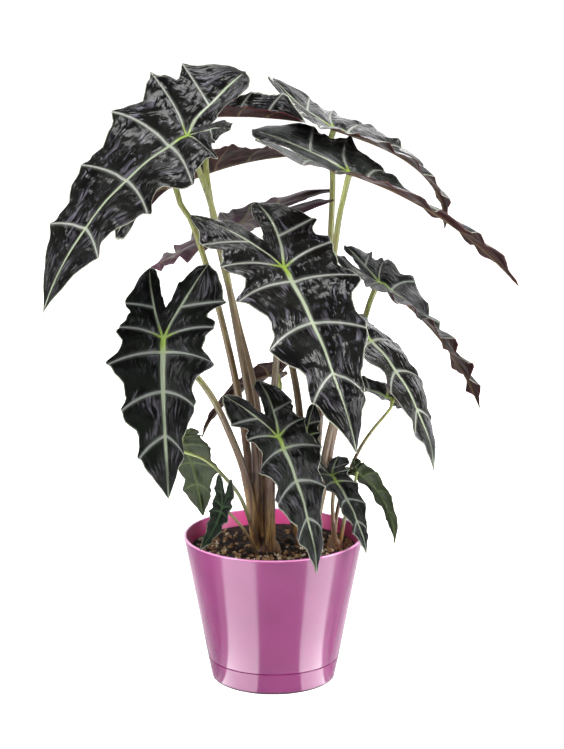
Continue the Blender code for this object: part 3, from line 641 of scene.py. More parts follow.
class BladeForm:
    """The bent surface of one blade: it turns flat blade coordinates into places in space."""

    STEPS = 60

    def __init__(self, leaf):
        self.leaf = leaf
        self.size = leaf.length * MM
        along = np.linspace(0, 1, self.STEPS + 1)
        heading = np.radians(leaf.heading + leaf.turn * along)
        slope = np.radians(leaf.rise + (leaf.dip - leaf.rise) * along ** leaf.droop)
        level = np.cos(slope)
        forward = np.stack([level * np.cos(heading), level * np.sin(heading), np.sin(slope)], -1)
        steps = (forward[1:] + forward[:-1]) / 2 * self.size / self.STEPS
        start = np.array(leaf.junction) * MM
        sideways = np.stack([-np.sin(heading), np.cos(heading), 0 * heading], -1)
        upward = np.cross(forward, sideways)
        roll = np.radians(leaf.roll + leaf.twist * along)[:, None]
        self.along = along
        self.forward = forward
        self.midrib = start + np.concatenate([np.zeros((1, 3)), np.cumsum(steps, 0)])
        self.left = np.cos(roll) * sideways + np.sin(roll) * upward
        self.normal = np.cos(roll) * upward - np.sin(roll) * sideways

    def place(self, x, y, side, lift):
        """Points (x, y) of one half of the flat blade, raised by lift metres along the normal."""
        leaf = self.leaf
        inside = np.clip(x, 0, 1)
        inside = inside * (1 - leaf.sweep[side] * inside * np.abs(y) / HALF_WIDTH)
        behind = np.minimum(x, 0)
        reach = np.abs(y) * leaf.width * np.interp(x, REACH_PLACES, leaf.reach[side])
        reach = reach * (1 + (leaf.spread[side] - 1) * np.minimum(1, -behind / LOBE_LENGTH))
        fold = leaf.fold[side] * np.minimum(1, reach / SPINE_EASE)
        curl = leaf.curl[side] * np.minimum(CURL_LIMIT, reach / HALF_WIDTH) / 2
        angle = np.radians(fold + curl)
        apart = np.minimum(1, reach / BLEND_REACH)
        lobe = blend(leaf.lobe, side, apart) * MM * (behind / LOBE_LENGTH) ** 2
        height = reach * self.size * np.sin(angle) + lobe + lift
        sideways = (1 if side == 0 else -1) * reach * self.size * np.cos(angle)
        backwards = behind * blend(leaf.basal, side, apart) * self.size
        midrib, left, normal = [
            read_table(inside, self.along, table) for table in (self.midrib, self.left, self.normal)
        ]
        points = midrib + backwards[..., None] * self.forward[0]
        return points + left * sideways[..., None] + normal * height[..., None]


def row_marks(spans, fine):
    """Fine rows between the named ones, crowded towards the veins, which are the even rows."""
    share = np.arange(fine) / fine
    leaving = share ** ROW_CROWDING
    nearing = 1 - (1 - share) ** ROW_CROWDING
    marks = [index + (nearing if index % 2 else leaving) for index in range(spans)]
    return np.append(np.concatenate(marks), spans)


def smooth_curve(points, marks, rounding=(1, 1)):
    """A smooth curve through points, read at marks that count them; rounding softens even and odd ones."""
    points = np.array(points)
    tangents = np.gradient(points, axis=0)
    tangents[0::2] *= rounding[0]
    tangents[1::2] *= rounding[1]
    index = np.minimum(marks.astype(int), len(points) - 2)
    t = (marks - index)[:, None]
    first, second = points[index], points[index + 1]
    leave, arrive = tangents[index], tangents[index + 1]
    return (
        (2 * t ** 3 - 3 * t ** 2 + 1) * first + (t ** 3 - 2 * t ** 2 + t) * leave
        + (3 * t ** 2 - 2 * t ** 3) * second + (t ** 3 - t ** 2) * arrive
    )


def spine_places(marks):
    """Where on the spine each row starts: below 0 on the basal vein, above it on the midrib."""
    return np.interp(marks, range(len(SPINE_PLACES)), SPINE_PLACES)


def spine_points(places):
    """Points of the spine: the bowed basal vein for negative places, else the midrib."""
    behind = np.maximum(-places, 0)
    bow = 2 * behind * (1 - behind)
    tip = OUTER_MARGIN[0]
    x = np.where(places < 0, bow * BASAL_VEIN_BOW[0] + behind ** 2 * tip[0], places)
    y = np.where(places < 0, bow * BASAL_VEIN_BOW[1] + behind ** 2 * tip[1], 0)
    return np.stack([x, y], -1)


def flat_grid(margin, marks, across, bow, phase):
    """Points of the flat half blade on rows from the spine to the scalloped margin."""
    places = spine_places(marks)
    spine = spine_points(places)[:, None, :]
    edge = smooth_curve(margin, marks, MARGIN_ROUNDING)
    scallops = ripples(marks, phase, SCALLOPS) * np.minimum(1, len(margin) - 1 - marks)
    reach = (edge[:, None, :] - spine) * (1 + scallops[:, None, None])
    share = across[None, :, None]
    bowed = np.clip((places + BOW_START) / BOW_START, LEAST_BOW, 1)[:, None, None]
    sideways = np.stack([-reach[..., 1], reach[..., 0]], -1)
    return spine + reach * share + sideways * (bow * bowed * 4 * share * (1 - share))


def dome(distance):
    """1 on a rib's middle line, rounding down to 0 at its edge."""
    return np.maximum(0, 1 - distance ** 2) ** RIB_ROUNDING


def half_blade(leaf, form, side, inner, crinkle):
    """One half's points in space and what each stores: flat place, ribs, folds and thickness."""
    fine, columns = LONG_LEAF_GRID if leaf.length > LONG_LEAF else SHORT_LEAF_GRID
    if inner:
        margin, bow, columns, crowding = INNER_MARGIN, 0, columns // 2, INNER_CROWDING
    else:
        margin, bow, crowding = OUTER_MARGIN, VEIN_BOW, OUTER_CROWDING
    phase = LEAF_RIPPLES * leaf.phase + HALF_RIPPLES * side
    marks = row_marks(len(margin) - 1, fine)
    across = np.linspace(0, 1, columns + 1) ** crowding
    flat = flat_grid(margin, marks, across, bow, phase)
    rows = marks[:, None]
    share = across[None, :]
    places = spine_places(marks)[:, None]
    ahead = np.maximum(places, 0)
    behind = np.maximum(-places, 0)

    # Distances from the spine, the margin and the nearest side vein
    reach = np.linalg.norm(flat - flat[:, :1], axis=-1)
    margin_gap = np.linalg.norm(flat - flat[:, -1:], axis=-1) * leaf.length
    side_gap = FAR_FROM_VEINS
    if not inner:
        veins = flat_grid(margin, 2 * np.round(marks / 2), across, bow, phase)
        side_gap = np.linalg.norm(flat - veins, axis=-1) * leaf.length
    scale = min(1, leaf.length / FULL_RIB_LENGTH)
    slim = scale ** 0.5
    midrib = between(MIDRIB_HALF_WIDTH, ahead ** MIDRIB_NARROWING)
    spine_width = np.where(places < 0, between(BASAL_VEIN_HALF_WIDTH, behind), midrib)
    spine_part = reach * leaf.length / (spine_width * slim)
    side_part = side_gap / (between(SIDE_VEIN_HALF_WIDTH, share) * slim) + 0 * rows

    # The blade waves slowly and swells between its veins, and close crinkles follow the margin. A
    # dry leaf's end crumples over its whole width
    turns = 2 * pi * SLOW_WAVES * rows / len(margin)
    slow = np.sin(leaf.phase + HALVES_APART * side + turns)
    dip = np.minimum(rows, 1) - 0.5 if inner else -0.5 * np.cos(pi * rows)
    lift = leaf.wave * MM * share ** 2 * np.minimum(1, reach / WAVE_REACH) * (slow + dip)
    towards_tip = np.minimum(1, 2 * ahead)
    fade = between(CRINKLE_FADE, (crinkle > CRINKLE) * towards_tip)
    close = crinkle * share ** fade * np.minimum(1, between(CRINKLE_GROWTH, towards_tip) * reach)
    lift = lift + close * ripples(rows, phase, CRINKLES) * np.clip(LOBE_CRINKLE + places * 2, LOBE_CRINKLE, 1)
    if inner:
        opened = np.minimum(1, flat[..., 1] / BLEND_REACH)
        lift = lift * opened
        pillow = INNER_SWELLING * np.sin(pi * share) * opened
    else:
        pillow = np.sin(pi * share ** SWELLING_LEAN) * (0.5 - 0.5 * np.cos(pi * rows))
    lift = lift + SWELLING * scale * pillow
    lift = lift + VEIN_RISE * np.maximum(dome(spine_part), SIDE_VEIN_RISE * dome(side_part))

    # The ribs stand out underneath
    main_depth = np.where(places < 0, RIB_TAPER - BASAL_RIB_TAPER * behind, 1 - RIB_TAPER * ahead)
    main_rib = MIDRIB_DEPTH * scale * main_depth * dome(spine_part)
    side_rib = SIDE_RIB_DEPTH * scale * (1 - share) * dome(side_part)
    thick = between((MARGIN_THICKNESS, BLADE_THICKNESS), np.minimum(1, margin_gap / THIN_MARGIN))

    sign = -1 if side else 1
    points = form.place(flat[..., 0], sign * flat[..., 1], side, lift)
    flat_mm = np.stack([flat[..., 0] * leaf.length, sign * flat[..., 1] * leaf.length, 0 * reach], -1)
    ribs = np.stack([side_part, spine_part, margin_gap], -1)
    # Each part of a leaf shows a stretch of the puckers' pattern of its own
    fold_rows = -3 - rows if inner else rows
    folds = np.stack(np.broadcast_arrays(fold_rows, share + 20 * side, leaf.phase * 9), -1)
    return points, flat_mm, ribs, folds, thick + np.maximum(main_rib, side_rib)


def blade_mesh(name, leaf, materials, crinkle):
    """A whole blade: the upper skin, the ribbed underside and the thin rim that closes them."""
    form = BladeForm(leaf)
    tables = [[] for _ in range(5)]
    quads = []
    total = 0
    for side in (0, 1):
        for inner in (False, True):
            grids = half_blade(leaf, form, side, inner, crinkle)
            height, width = grids[0].shape[:2]
            number = total + np.arange(height * width).reshape(height, width)
            total += height * width
            around = (number[:-1, :-1], number[1:, :-1], number[1:, 1:], number[:-1, 1:])
            corners = np.stack(around, -1).reshape(-1, 4)
            quads.append(corners[:, ::-1] if (side == 1) != inner else corners)
            for table, grid in zip(tables, grids):
                table.append(grid.reshape(height * width, -1))
    # The halves share their points along the spine
    tables = [np.concatenate(table) for table in tables]
    place = np.round(tables[1][:, :2], 3) + 0.0
    _, first, number = np.unique(place, axis=0, return_index=True, return_inverse=True)
    points, flat, ribs, folds, thickness = [table[first] for table in tables]
    upper = []
    for quad in number.reshape(-1)[np.concatenate(quads)].tolist():
        face = [corner for index, corner in enumerate(quad) if corner != quad[index - 1]]
        if len(set(face)) == len(face) and len(face) >= 3:
            upper.append(face)
    sheet = plain_mesh("sheet", points, upper)
    normals = np.array([normal.vector for normal in sheet.vertex_normals])
    bpy.data.meshes.remove(sheet)
    count = len(points)
    lower = [[corner + count for corner in reversed(face)] for face in upper]
    edges = {(face[index - 1], face[index]) for face in upper for index in range(len(face))}
    rim = [[b, a, a + count, b + count] for a, b in edges if (b, a) not in edges]
    both = np.concatenate([points, points - normals * thickness])
    mesh = plain_mesh(name, both, upper + lower + sorted(rim))
    for material in materials:
        mesh.materials.append(material)
    mesh.polygons.foreach_set("material_index", [0] * len(upper) + [1] * (len(lower) + len(rim)))
    for label, table in (("flat", flat), ("ribs", ribs), ("folds", folds)):
        values = np.concatenate([table, table]).astype(np.float32)
        mesh.attributes.new(label, "FLOAT_VECTOR", "POINT").data.foreach_set("vector", values.ravel())
    mesh.shade_smooth()
    mesh.validate()
    return mesh


# Stems, shoots, soil and pot


def stem_curve(key):
    """The stem's centre line from inside its shoot up to the blade's underside."""
    stem = STEMS[key]
    leaf = LEAVES[key]
    normal = BladeForm(leaf).normal[0]
    scale = min(1, leaf.length / FULL_RIB_LENGTH)
    top = np.array(leaf.junction) * MM - normal * (SOLID_THICKNESS + MIDRIB_DEPTH * scale + FIT_GAP)
    straight = top - normal * END_STEP
    neck = top - NECK * scale * (normal + NECK_SAG * UP)
    if stem.shoot:
        (x, y), radius = SHOOTS[stem.shoot]
        reach = radius - STUB_SWELL * stem.thick - STUB_INSET
        lean = radians(stem.lean)
        start = np.array((x + reach * cos(lean), y + reach * sin(lean), 0)) * MM + UP * SHOOT_FOOT_TOP
        foot = start - UP * STUB_DEPTH
    else:
        start = np.array(LONE_STEM_FOOT) * MM
        foot = start - UP * LONE_STEM_DEPTH
    points = np.vstack([foot, start, np.array(stem.via) * MM, neck, straight])
    curve = smooth_curve(points, np.arange(CURVE_STEPS * (len(points) - 1) + 1) / CURVE_STEPS)
    return np.vstack([curve, top + normal * (FIT_GAP + MM)])


def path_part(points, start, end=None):
    """The stretch of a path between two distances along it."""
    lengths = np.concatenate([[0], np.cumsum(np.linalg.norm(np.diff(points, axis=0), axis=1))])
    marks = np.linspace(start, lengths[-1] if end is None else end, PATH_POINTS)
    return read_table(marks, lengths, points)


def new_tree(name, **inputs):
    """A Geometry Nodes tree with a geometry input, named inputs of each kind and one geometry output."""
    tree = bpy.data.node_groups.new(name, "GeometryNodeTree")
    tree.interface.new_socket("Geometry", in_out="INPUT", socket_type="NodeSocketGeometry")
    for kind, labels in inputs.items():
        for label in labels:
            tree.interface.new_socket(label, in_out="INPUT", socket_type="NodeSocket" + kind)
    tree.interface.new_socket("Geometry", in_out="OUTPUT", socket_type="NodeSocketGeometry")
    entry = tree.nodes.new("NodeGroupInput")
    return tree, {socket.name: socket for socket in entry.outputs if socket.name}


def close_tree(tree, geometry, material, smooth):
    """End a tree: real geometry, its shading and its material."""
    real = add(tree, "GeometryNodeRealizeInstances", {0: geometry})
    shaded = add(tree, "GeometryNodeSetShadeSmooth", {"Geometry": real, "Shade Smooth": smooth})
    finished = add(tree, "GeometryNodeSetMaterial", {"Geometry": shaded, "Material": material})
    add(tree, "NodeGroupOutput", {0: finished})


def grow(name, mesh, tree, **values):
    """The plain mesh that a tree makes from a mesh with the given inputs."""
    item = new_item(name, mesh)
    modifier = item.modifiers.new("grow", "NODES")
    modifier.node_group = tree
    for socket in tree.interface.items_tree:
        label = socket.name.lower().replace(" ", "_")
        if socket.in_out == "INPUT" and label in values:
            modifier[socket.identifier] = values[label]
    depsgraph = bpy.context.evaluated_depsgraph_get()
    grown = bpy.data.meshes.new_from_object(
        item.evaluated_get(depsgraph), preserve_all_data_layers=True, depsgraph=depsgraph
    )
    grown.name = name
    bpy.data.objects.remove(item, do_unlink=True)
    return grown


def make_stem_tree():
    """Sweep a tapered round stem along a path, with a slightly swollen neck and faint flutes."""
    numbers = ("Foot Radius", "Top Radius", "Taper", "Neck Swell", "Flutes")
    tree, given = new_tree("tapered_stem", Float=numbers, Material=("Material",))
    curve = add(tree, "GeometryNodeMeshToCurve", {"Mesh": given["Geometry"]})
    along = add(tree, "GeometryNodeSplineParameter", out="Factor")
    stored = {"Geometry": curve, "Name": "along", "Value": along}
    eased = add(tree, "ShaderNodeMath", {0: along, 1: given["Taper"]}, operation="POWER")
    taper = add(tree, "ShaderNodeMapRange", {0: eased, 3: given["Foot Radius"], 4: given["Top Radius"]})
    at_neck = add(tree, "ShaderNodeMapRange", {0: along, 1: NECK_START, 2: 1.0}, **EASED)
    swollen = {0: at_neck, 1: given["Neck Swell"], 2: taper}
    radius = add(tree, "ShaderNodeMath", swollen, operation="MULTIPLY_ADD")
    ring = add(tree, "GeometryNodeCurvePrimitiveCircle", {"Resolution": STEM_SIDES, "Radius": 1.0})
    turn = add(tree, "GeometryNodeSplineParameter", out="Factor")
    wave = add(tree, "ShaderNodeMath", {0: turn, 1: 2 * pi * STEM_FLUTES}, operation="MULTIPLY")
    flute = add(tree, "ShaderNodeMath", {0: wave}, operation="SINE")
    factor = add(tree, "ShaderNodeMath", {0: flute, 1: given["Flutes"], 2: 1.0}, operation="MULTIPLY_ADD")
    here = add(tree, "GeometryNodeInputPosition")
    fluted = add(tree, "ShaderNodeVectorMath", {0: here, "Scale": factor}, operation="SCALE")
    swept = {
        "Curve": add(tree, "GeometryNodeStoreNamedAttribute", stored),
        "Profile Curve": add(tree, "GeometryNodeSetPosition", {"Geometry": ring, "Position": fluted}),
        "Scale": radius,
        "Fill Caps": True,
    }
    close_tree(tree, add(tree, "GeometryNodeCurveToMesh", swept), given["Material"], True)
    return tree


def make_grain_tree():
    """Scatter rough little grains on the soil, more of them where its mesh asks for it."""
    numbers = ("Density", "Smallest", "Largest", "Flatness")
    tree, given = new_tree("soil_grains", Float=numbers, Int=("Seed",), Material=("Material",))
    seed = given["Seed"]
    share = add(tree, "GeometryNodeInputNamedAttribute", {"Name": "grit"}, data_type="FLOAT")
    density = add(tree, "ShaderNodeMath", {0: share, 1: given["Density"]}, operation="MULTIPLY")
    scatter = {"Mesh": given["Geometry"], "Density": density, "Seed": seed}
    points = add(tree, "GeometryNodeDistributePointsOnFaces", scatter, out="Points")
    any_way = {0: (0.0, 0.0, 0.0), 1: (6.28, 6.28, 6.28), 8: seed}
    turn = add(tree, "FunctionNodeRandomValue", any_way, data_type="FLOAT_VECTOR")
    size = add(tree, "FunctionNodeRandomValue", {2: given["Smallest"], 3: given["Largest"], 8: seed})
    wide, flat = [
        add(tree, "ShaderNodeMath", {0: size, 1: part}, operation="MULTIPLY")
        for part in (0.8, given["Flatness"])
    ]
    # One grain: a ball pushed in and out by slow noise
    ball = add(tree, "GeometryNodeMeshIcoSphere", {"Radius": 1.0, "Subdivisions": 2}, out="Mesh")
    noise = add(tree, "ShaderNodeTexNoise", {"Scale": 1.6, "Detail": 1.0}, out="Color")
    centred = add(tree, "ShaderNodeVectorMath", {0: noise, 1: (0.5, 0.5, 0.5)}, operation="SUBTRACT")
    push = add(tree, "ShaderNodeVectorMath", {0: centred, "Scale": 1.3}, operation="SCALE")
    placed = {
        "Points": points,
        "Instance": add(tree, "GeometryNodeSetPosition", {"Geometry": ball, "Offset": push}),
        "Rotation": add(tree, "FunctionNodeEulerToRotation", {0: turn}),
        "Scale": add(tree, "ShaderNodeCombineXYZ", {0: size, 1: wide, 2: flat}),
    }
    close_tree(tree, add(tree, "GeometryNodeInstanceOnPoints", placed), given["Material"], False)
    return tree


def path_mesh(points):
    """A bare line of edges through points."""
    return plain_mesh("path", points, edges=[(index, index + 1) for index in range(len(points) - 1)])


def joined(name, meshes):
    """Several meshes as one."""
    body = bmesh.new()
    for mesh in meshes:
        body.from_mesh(mesh)
    whole = bpy.data.meshes.new(name)
    body.to_mesh(whole)
    body.free()
    for material in meshes[0].materials:
        whole.materials.append(material)
    return whole


def turned_mesh(name, profile, segments):
    """A closed body of revolution from (radius, height) points that start and end on the axis."""
    turns = np.linspace(0, 2 * pi, segments, endpoint=False)
    corners = []
    rows = []
    for radius, height in profile:
        ring = [(radius * cos(turn), radius * sin(turn), height) for turn in turns]
        ring = ring if radius > 0 else ring[:1]
        rows.append(range(len(corners), len(corners) + len(ring)))
        corners += ring
    faces = []
    for low, high in zip(rows, rows[1:]):
        for first in range(segments):
            after = (first + 1) % segments
            places = ((low, first), (low, after), (high, after), (high, first))
            around = [row[place % len(row)] for row, place in places]
            faces.append(list(dict.fromkeys(around)))
    mesh = plain_mesh(name, corners, faces)
    mesh.shade_smooth()
    mesh.set_sharp_from_angle(angle=SHARP_EDGE)
    return mesh


def arc(radius, height, wide, high, start, end, count):
    """Profile points of a round edge about (radius, height), between two angles above the level."""
    turns = np.linspace(start, end, count)
    return [(radius + wide * cos(turn), height + high * sin(turn)) for turn in turns]


def wall_radius(height):
    """The pot's outer radius at a height."""
    return POT_BASE_RADIUS + (POT_RIM_RADIUS - POT_BASE_RADIUS) * height / POT_HEIGHT


def make_pot():
    """The thin conical pot with a rounded foot, a fine groove and a rounded lip."""
    rounding = POT_EDGE_ROUND
    foot = arc(wall_radius(0) - rounding, rounding, rounding, rounding, -pi / 2, 0, POT_FOOT_STEPS)
    groove = []
    for offset, depth in POT_GROOVE:
        height = POT_GROOVE_HEIGHT + offset * MM
        groove.append((wall_radius(height) - depth * MM, height))
    half_wall = POT_WALL / 2
    lip_radius, lip_height = POT_RIM_RADIUS - half_wall, POT_HEIGHT - half_wall
    lip = arc(lip_radius, lip_height, half_wall, half_wall, 0, pi, POT_LIP_STEPS)
    inside = [
        (wall_radius(POT_FLOOR + rounding) - POT_WALL, POT_FLOOR + rounding),
        (wall_radius(POT_FLOOR) - POT_WALL - rounding, POT_FLOOR),
        (0, POT_FLOOR),
    ]
    mesh = turned_mesh("magenta_pot", [(0, 0)] + foot + groove + lip + inside, POT_SEGMENTS)
    mesh.materials.append(make_pot_lacquer())
    mesh.materials.append(make_pot_plastic())
    # The lacquer ends at the lip; below it the inside is bare plastic
    bare = len(inside) * POT_SEGMENTS
    mesh.polygons.foreach_set("material_index", [0] * (len(mesh.polygons) - bare) + [1] * bare)
    new_piece("magenta_pot", mesh, "pot", "pot")


def soil_height(x, y):
    """The mounded top of the soil: slow lumps with finer crumbs on them."""
    reach = np.minimum(1, np.hypot(x, y) / POT_RIM_RADIUS)
    # Uneven numbers keep the lumps and the crumbs from falling into rows
    turn = 2 * pi / SOIL_LUMP_LENGTH
    lumps = np.sin(turn * x + 1.3) * np.cos(1.25 * turn * y) + 0.6 * np.sin(turn * (2 * y + 1.6 * x))
    crumbs = np.sin(turn * 9.1 * x + 2 * np.sin(turn * 5 * y))
    crumbs = crumbs * np.sin(turn * 8.3 * y + 2 * np.sin(turn * 6 * x))
    height = SOIL_TOP + SOIL_MOUND * (1 - reach) ** 1.5
    return height + (SOIL_LUMPS * lumps + SOIL_CRUMBS * crumbs) * np.minimum(1, 2 * (1 - reach))


def grit_share(x, y):
    """How thickly loose grains lie on the soil, most at the front and beside the shoots.

    They lie in patches some 60 mm long. Beside the main shoot they begin 14 mm from it and thicken
    over the next 20 mm, as far back as 30 mm; towards the front they thicken over 45 mm.
    """
    patches = 0.6 + 0.4 * sin(x * 95 + 2.2 * sin(y * 80)) * cos(y * 110 + 1.4 * sin(x * 70))
    beside = min(1.0, max(0.0, (abs(x + 6 * MM) - 14 * MM) / (20 * MM)))
    front = min(1.0, max(0.0, 0.1 - y / (45 * MM)))
    return patches * max(0.1, front, 0.6 * beside * (y < 30 * MM))


def make_soil(material):
    """The soil's body with its crumbly top, and the loose grains that lie on it."""
    inner = POT_WALL + FIT_GAP
    floor = POT_FLOOR + FIT_GAP
    side = floor + SOIL_FOOT_ROUND
    edge = wall_radius(SOIL_TOP) - inner
    profile = [
        (0, floor),
        (wall_radius(floor) - inner - SOIL_FOOT_ROUND, floor),
        (wall_radius(side) - inner, side),
    ]
    profile += [(radius, SOIL_TOP) for radius in np.linspace(edge, 0, SOIL_RINGS)]
    mesh = turned_mesh("soil_body", profile, SOIL_SEGMENTS)
    for vertex in mesh.vertices:
        x, y, z = vertex.co
        if z > SOIL_TOP - MM and (x * x + y * y) ** 0.5 < edge - MM:
            vertex.co.z = soil_height(x, y)
    mesh.materials.append(material)
    new_piece("soil_body", mesh, "soil", "soil")

    # Only the top, without the rim, carries grains
    faces = [
        list(face.vertices) for face in mesh.polygons
        if face.center.z >= SOIL_TOP - MM and face.center.to_2d().length <= edge - BARE_SOIL_EDGE
    ]
    places = [vertex.co.copy() for vertex in mesh.vertices]
    top = plain_mesh("soil_top", places, faces)
    shares = [grit_share(place.x, place.y) for place in places]
    top.attributes.new("grit", "FLOAT", "POINT").data.foreach_set("value", shares)
    # Colours, roughness, grains to a square metre, smallest and largest in millimetres, flatness, seed
    tree = make_grain_tree()
    for name, pale, deep, roughness, density, smallest, largest, flatness, seed in (
        ("peat_crumbs", "#3a271b", "#17100c", 0.95, 120000, 0.6, 1.5, 0.8, 3),
        ("bark_chips", "#a5845c", "#6b4a2e", 0.85, 110000, 1.0, 2.8, 0.5, 5),
        ("perlite_grains", "#d8ccb4", "#a8926e", 0.9, 60000, 0.8, 1.9, 0.8, 8),
    ):
        sizes = {"smallest": smallest * MM, "largest": largest * MM, "flatness": flatness}
        finish = make_grain_material(name, pale, deep, roughness)
        grown = grow(name, top.copy(), tree, density=density, seed=seed, material=finish, **sizes)
        new_piece(name, grown, "soil")


def make_stems(tree):
    """Each leaf's stem along its path, from half way up its sheath."""
    fresh = make_stem_material("fleshy_stem", "#573b2c", "#5b492d", "#838a48", 0.38, 0.6, 0.15)
    young = make_stem_material("young_stem", "#5a4c2e", "#5e6335", "#748043", 0.38, 0.25, 0.0)
    for key, stem in STEMS.items():
        name = "petiole_" + key
        start = STUB_DEPTH + SHEATHED_SHARE * stem.sheath * MM if stem.shoot else 0
        path = path_mesh(path_part(stem_curve(key), start))
        shape = {"taper": 0.8, "neck_swell": 0.35 * MM, "flutes": 0.02}
        shape["material"] = young if LEAVES[key].colour == GREEN_LEAF_COLOUR else fresh
        grown = grow(name, path, tree, foot_radius=stem.thick * MM, top_radius=stem.thin * MM, **shape)
        new_piece(name, grown, "stem", "stem_" + key)


def make_shoots(tree):
    """Each shoot: its domed foot and the brown sheaths that wrap its stems."""
    finish = make_stem_material("brown_sheath", "#6a4b2b", "#93723f", "#5c452d", 0.55, 0.9, 0.75)
    shape = {"taper": 1.3, "neck_swell": -0.2 * MM, "flutes": 0.03, "material": finish}
    for key, ((x, y), radius) in SHOOTS.items():
        name = "sheathed_shoot_" + key
        wide = radius * MM
        side = [(0, SHOOT_FOOT_BOTTOM), (wide, SHOOT_FOOT_BOTTOM), (wide, SHOOT_SHOULDER)]
        turns = (SHOOT_DOME_START, pi / 2, SHOOT_DOME_STEPS)
        domed = arc(0, SHOOT_SHOULDER, wide, SHOOT_DOME, *turns)[:-1]
        top = [(0, SHOOT_SHOULDER + SHOOT_DOME)]
        foot = turned_mesh("foot", side + domed + top, SHOOT_SEGMENTS)
        for vertex in foot.vertices:
            vertex.co.x += x * MM
            vertex.co.y += y * MM
        foot.materials.append(finish)
        parts = [foot]
        for stem_key, stem in STEMS.items():
            if stem.shoot == key:
                path = path_mesh(path_part(stem_curve(stem_key), 0, STUB_DEPTH + stem.sheath * MM))
                shape["foot_radius"] = STUB_SWELL * stem.thick * MM
                shape["top_radius"] = SHEATH_TOP_SWELL * stem.thick * MM
                parts.append(grow("sheath", path, tree, **shape))
        new_piece(name, joined(name, parts), "shoot", "shoot_" + key)


def make_leaves():
    """Every blade, with dark or green skins."""
    grey_veins = ("#85887f", "#8f9880", "#7d923c")
    # The shaded copy's veins are dimmer: painted shade
    shaded_veins = ("#666a64", "#727a66", "#667836")
    young_veins = ("#111a11", "#1d2f1c", "#243320")
    green_veins = ("#3a4524", "#4a562a", "#5c6834")
    # Ground, veins, roughness, shine, depth of the puckers, and painted highlight streaks that also pale the
    # margin
    dark, shaded, painted_sheen_skin, young, green = [make_upper_blade(*row) for row in (
        ("dark_waxy_blade", ("#0b0a0a", "#141512"), grey_veins, 0.16, 0.17, 1.0, 0.5),
        # A darker, duller copy of the waxy skin for leaves in shade: its darker ground and dimmer veins are
        # painted shade
        ("dark_satin_blade", ("#080808", "#0d100c"), shaded_veins, 0.26, 0.05, 0.8, 0.3),
        # A lit copy of the waxy skin: its paler ground and stronger streaks are a painted sheen, the grazing
        # reflection of the light
        ("silvery_waxy_blade", ("#161917", "#242824"), grey_veins, 0.28, 0.2, 1.0, 0.6),
        ("young_blade", ("#080d08", "#0e150c"), young_veins, 0.35, 0.04, 0.4, 0.0),
        ("green_waxy_blade", ("#1f2711", "#343d20"), green_veins, 0.4, 0.1, 0.4, 0.0),
    )]
    # Ground, its clouds, the puckers' crests with their painted highlight, veins and margin
    purple, pale, dry = [make_under_blade(*row) for row in (
        ("purple_underside", "#1a0b0b", "#2e1715", "#4e3a3a", "#5a4a34", "#4a1a1e"),
        ("green_underside", "#151c0b", "#212a12", "#263017", "#37421f", "#3a3a24"),
        ("dry_purple_blade", "#24151a", "#46303a", "#6a585e", "#55503c", "#4a2a2e"),
    )]
    skins = {key: (shaded, purple) for key in SHADED_LEAVES}
    skins.update({
        "small_left": (green, pale), "small_right": (green, pale), "small_soil": (young, purple),
        "small_right_back": (shaded, shaded), "top_right_front": (painted_sheen_skin, purple), "middle_back": (dry, dry),
    })
    for key, leaf in LEAVES.items():
        crinkle = CRINKLE * DRY_CRINKLES.get(key, 1)
        mesh = blade_mesh("blade_" + key, leaf, skins.get(key, (dark, purple)), crinkle)
        new_piece("blade_" + key, mesh, leaf.colour, "leaf_" + key)


# The camera and the room, in metres: the photograph's view, its lens in millimetres, and how far it
# looks down in degrees
CAMERA_PLACE = (0.0067, -2.10, 0.77)
CAMERA_LENS = 135
CAMERA_TILT = 14.056
SET_REACH = 12.0
BACKDROP_SIDES = 48
PANEL_STEPS = 25
PANEL_HEIGHT = 0.5 * MM
WALL_GLOW = 1.0
BACK_GLOW = 0.8
SURROUND_GLOW = 0.1

# Lit panels lie flat beside the pot; its glossy sides mirror them as upright bands from rim to foot.
# The dim flags beside and before them keep the rest of its sides deep in colour. Each row gives the
# angles between which its near and far edges run (degrees to the camera's left), their distances from
# the axis, and its glow
PANELS = {
    "left_panel": ((16, 60), (21, 65), 0.049, 0.6, 8.0),
    "right_panel": ((-28, -60), (-42, -82), 0.049, 0.6, 8.0),
    "left_flag": ((72, 178), (80, 178), 0.049, 1.5, 0.12),
    "right_flag": ((-72, -178), (-95, -178), 0.049, 1.5, 0.15),
    "front_flag": ((-80, 80), (-80, 80), 0.62, 4.0, 0.12),
}

# Softboxes: place, the point that each faces, width, height, power and colour
SOFTBOXES = {
    "left_softbox": ((-1.0, -0.7, 0.6), (0, 0, 0.2), 0.45, 1.2, 26, "#ffffff"),
    "right_softbox": ((1.2, -0.3, 0.6), (0, 0, 0.2), 0.4, 1.2, 32, "#ffffff"),
    "top_softbox": ((0.0, 0.2, 1.9), (0, 0, 0.3), 0.8, 0.7, 24, "#ffffff"),
    "front_softbox": ((0.2, -1.7, 1.9), (0, 0, 0.3), 0.4, 0.4, 10, "#e4defa"),
}


def lit_finish(name, glow, shade=0.8):
    """Matt white acrylic that is lit from behind."""
    skin = {"roughness": 0.9, "specular_ior_level": 0.2, "base_color": (shade, shade, shade, 1)}
    material, _ = new_material(name, emission_color=(1, 1, 1, 1), emission_strength=glow, **skin)
    return material


def set_sheet(name, corners, faces, finish, seen=False, lights=False, mirrored=True):
    """A sheet of the set: whether the camera sees it, it lights the object, and gloss mirrors it."""
    mesh = plain_mesh(name, corners, faces)
    mesh.materials.append(finish)
    sheet = new_item(name, mesh)
    sheet.visible_camera = seen
    sheet.visible_shadow = lights
    sheet.visible_diffuse = lights
    sheet.visible_glossy = mirrored


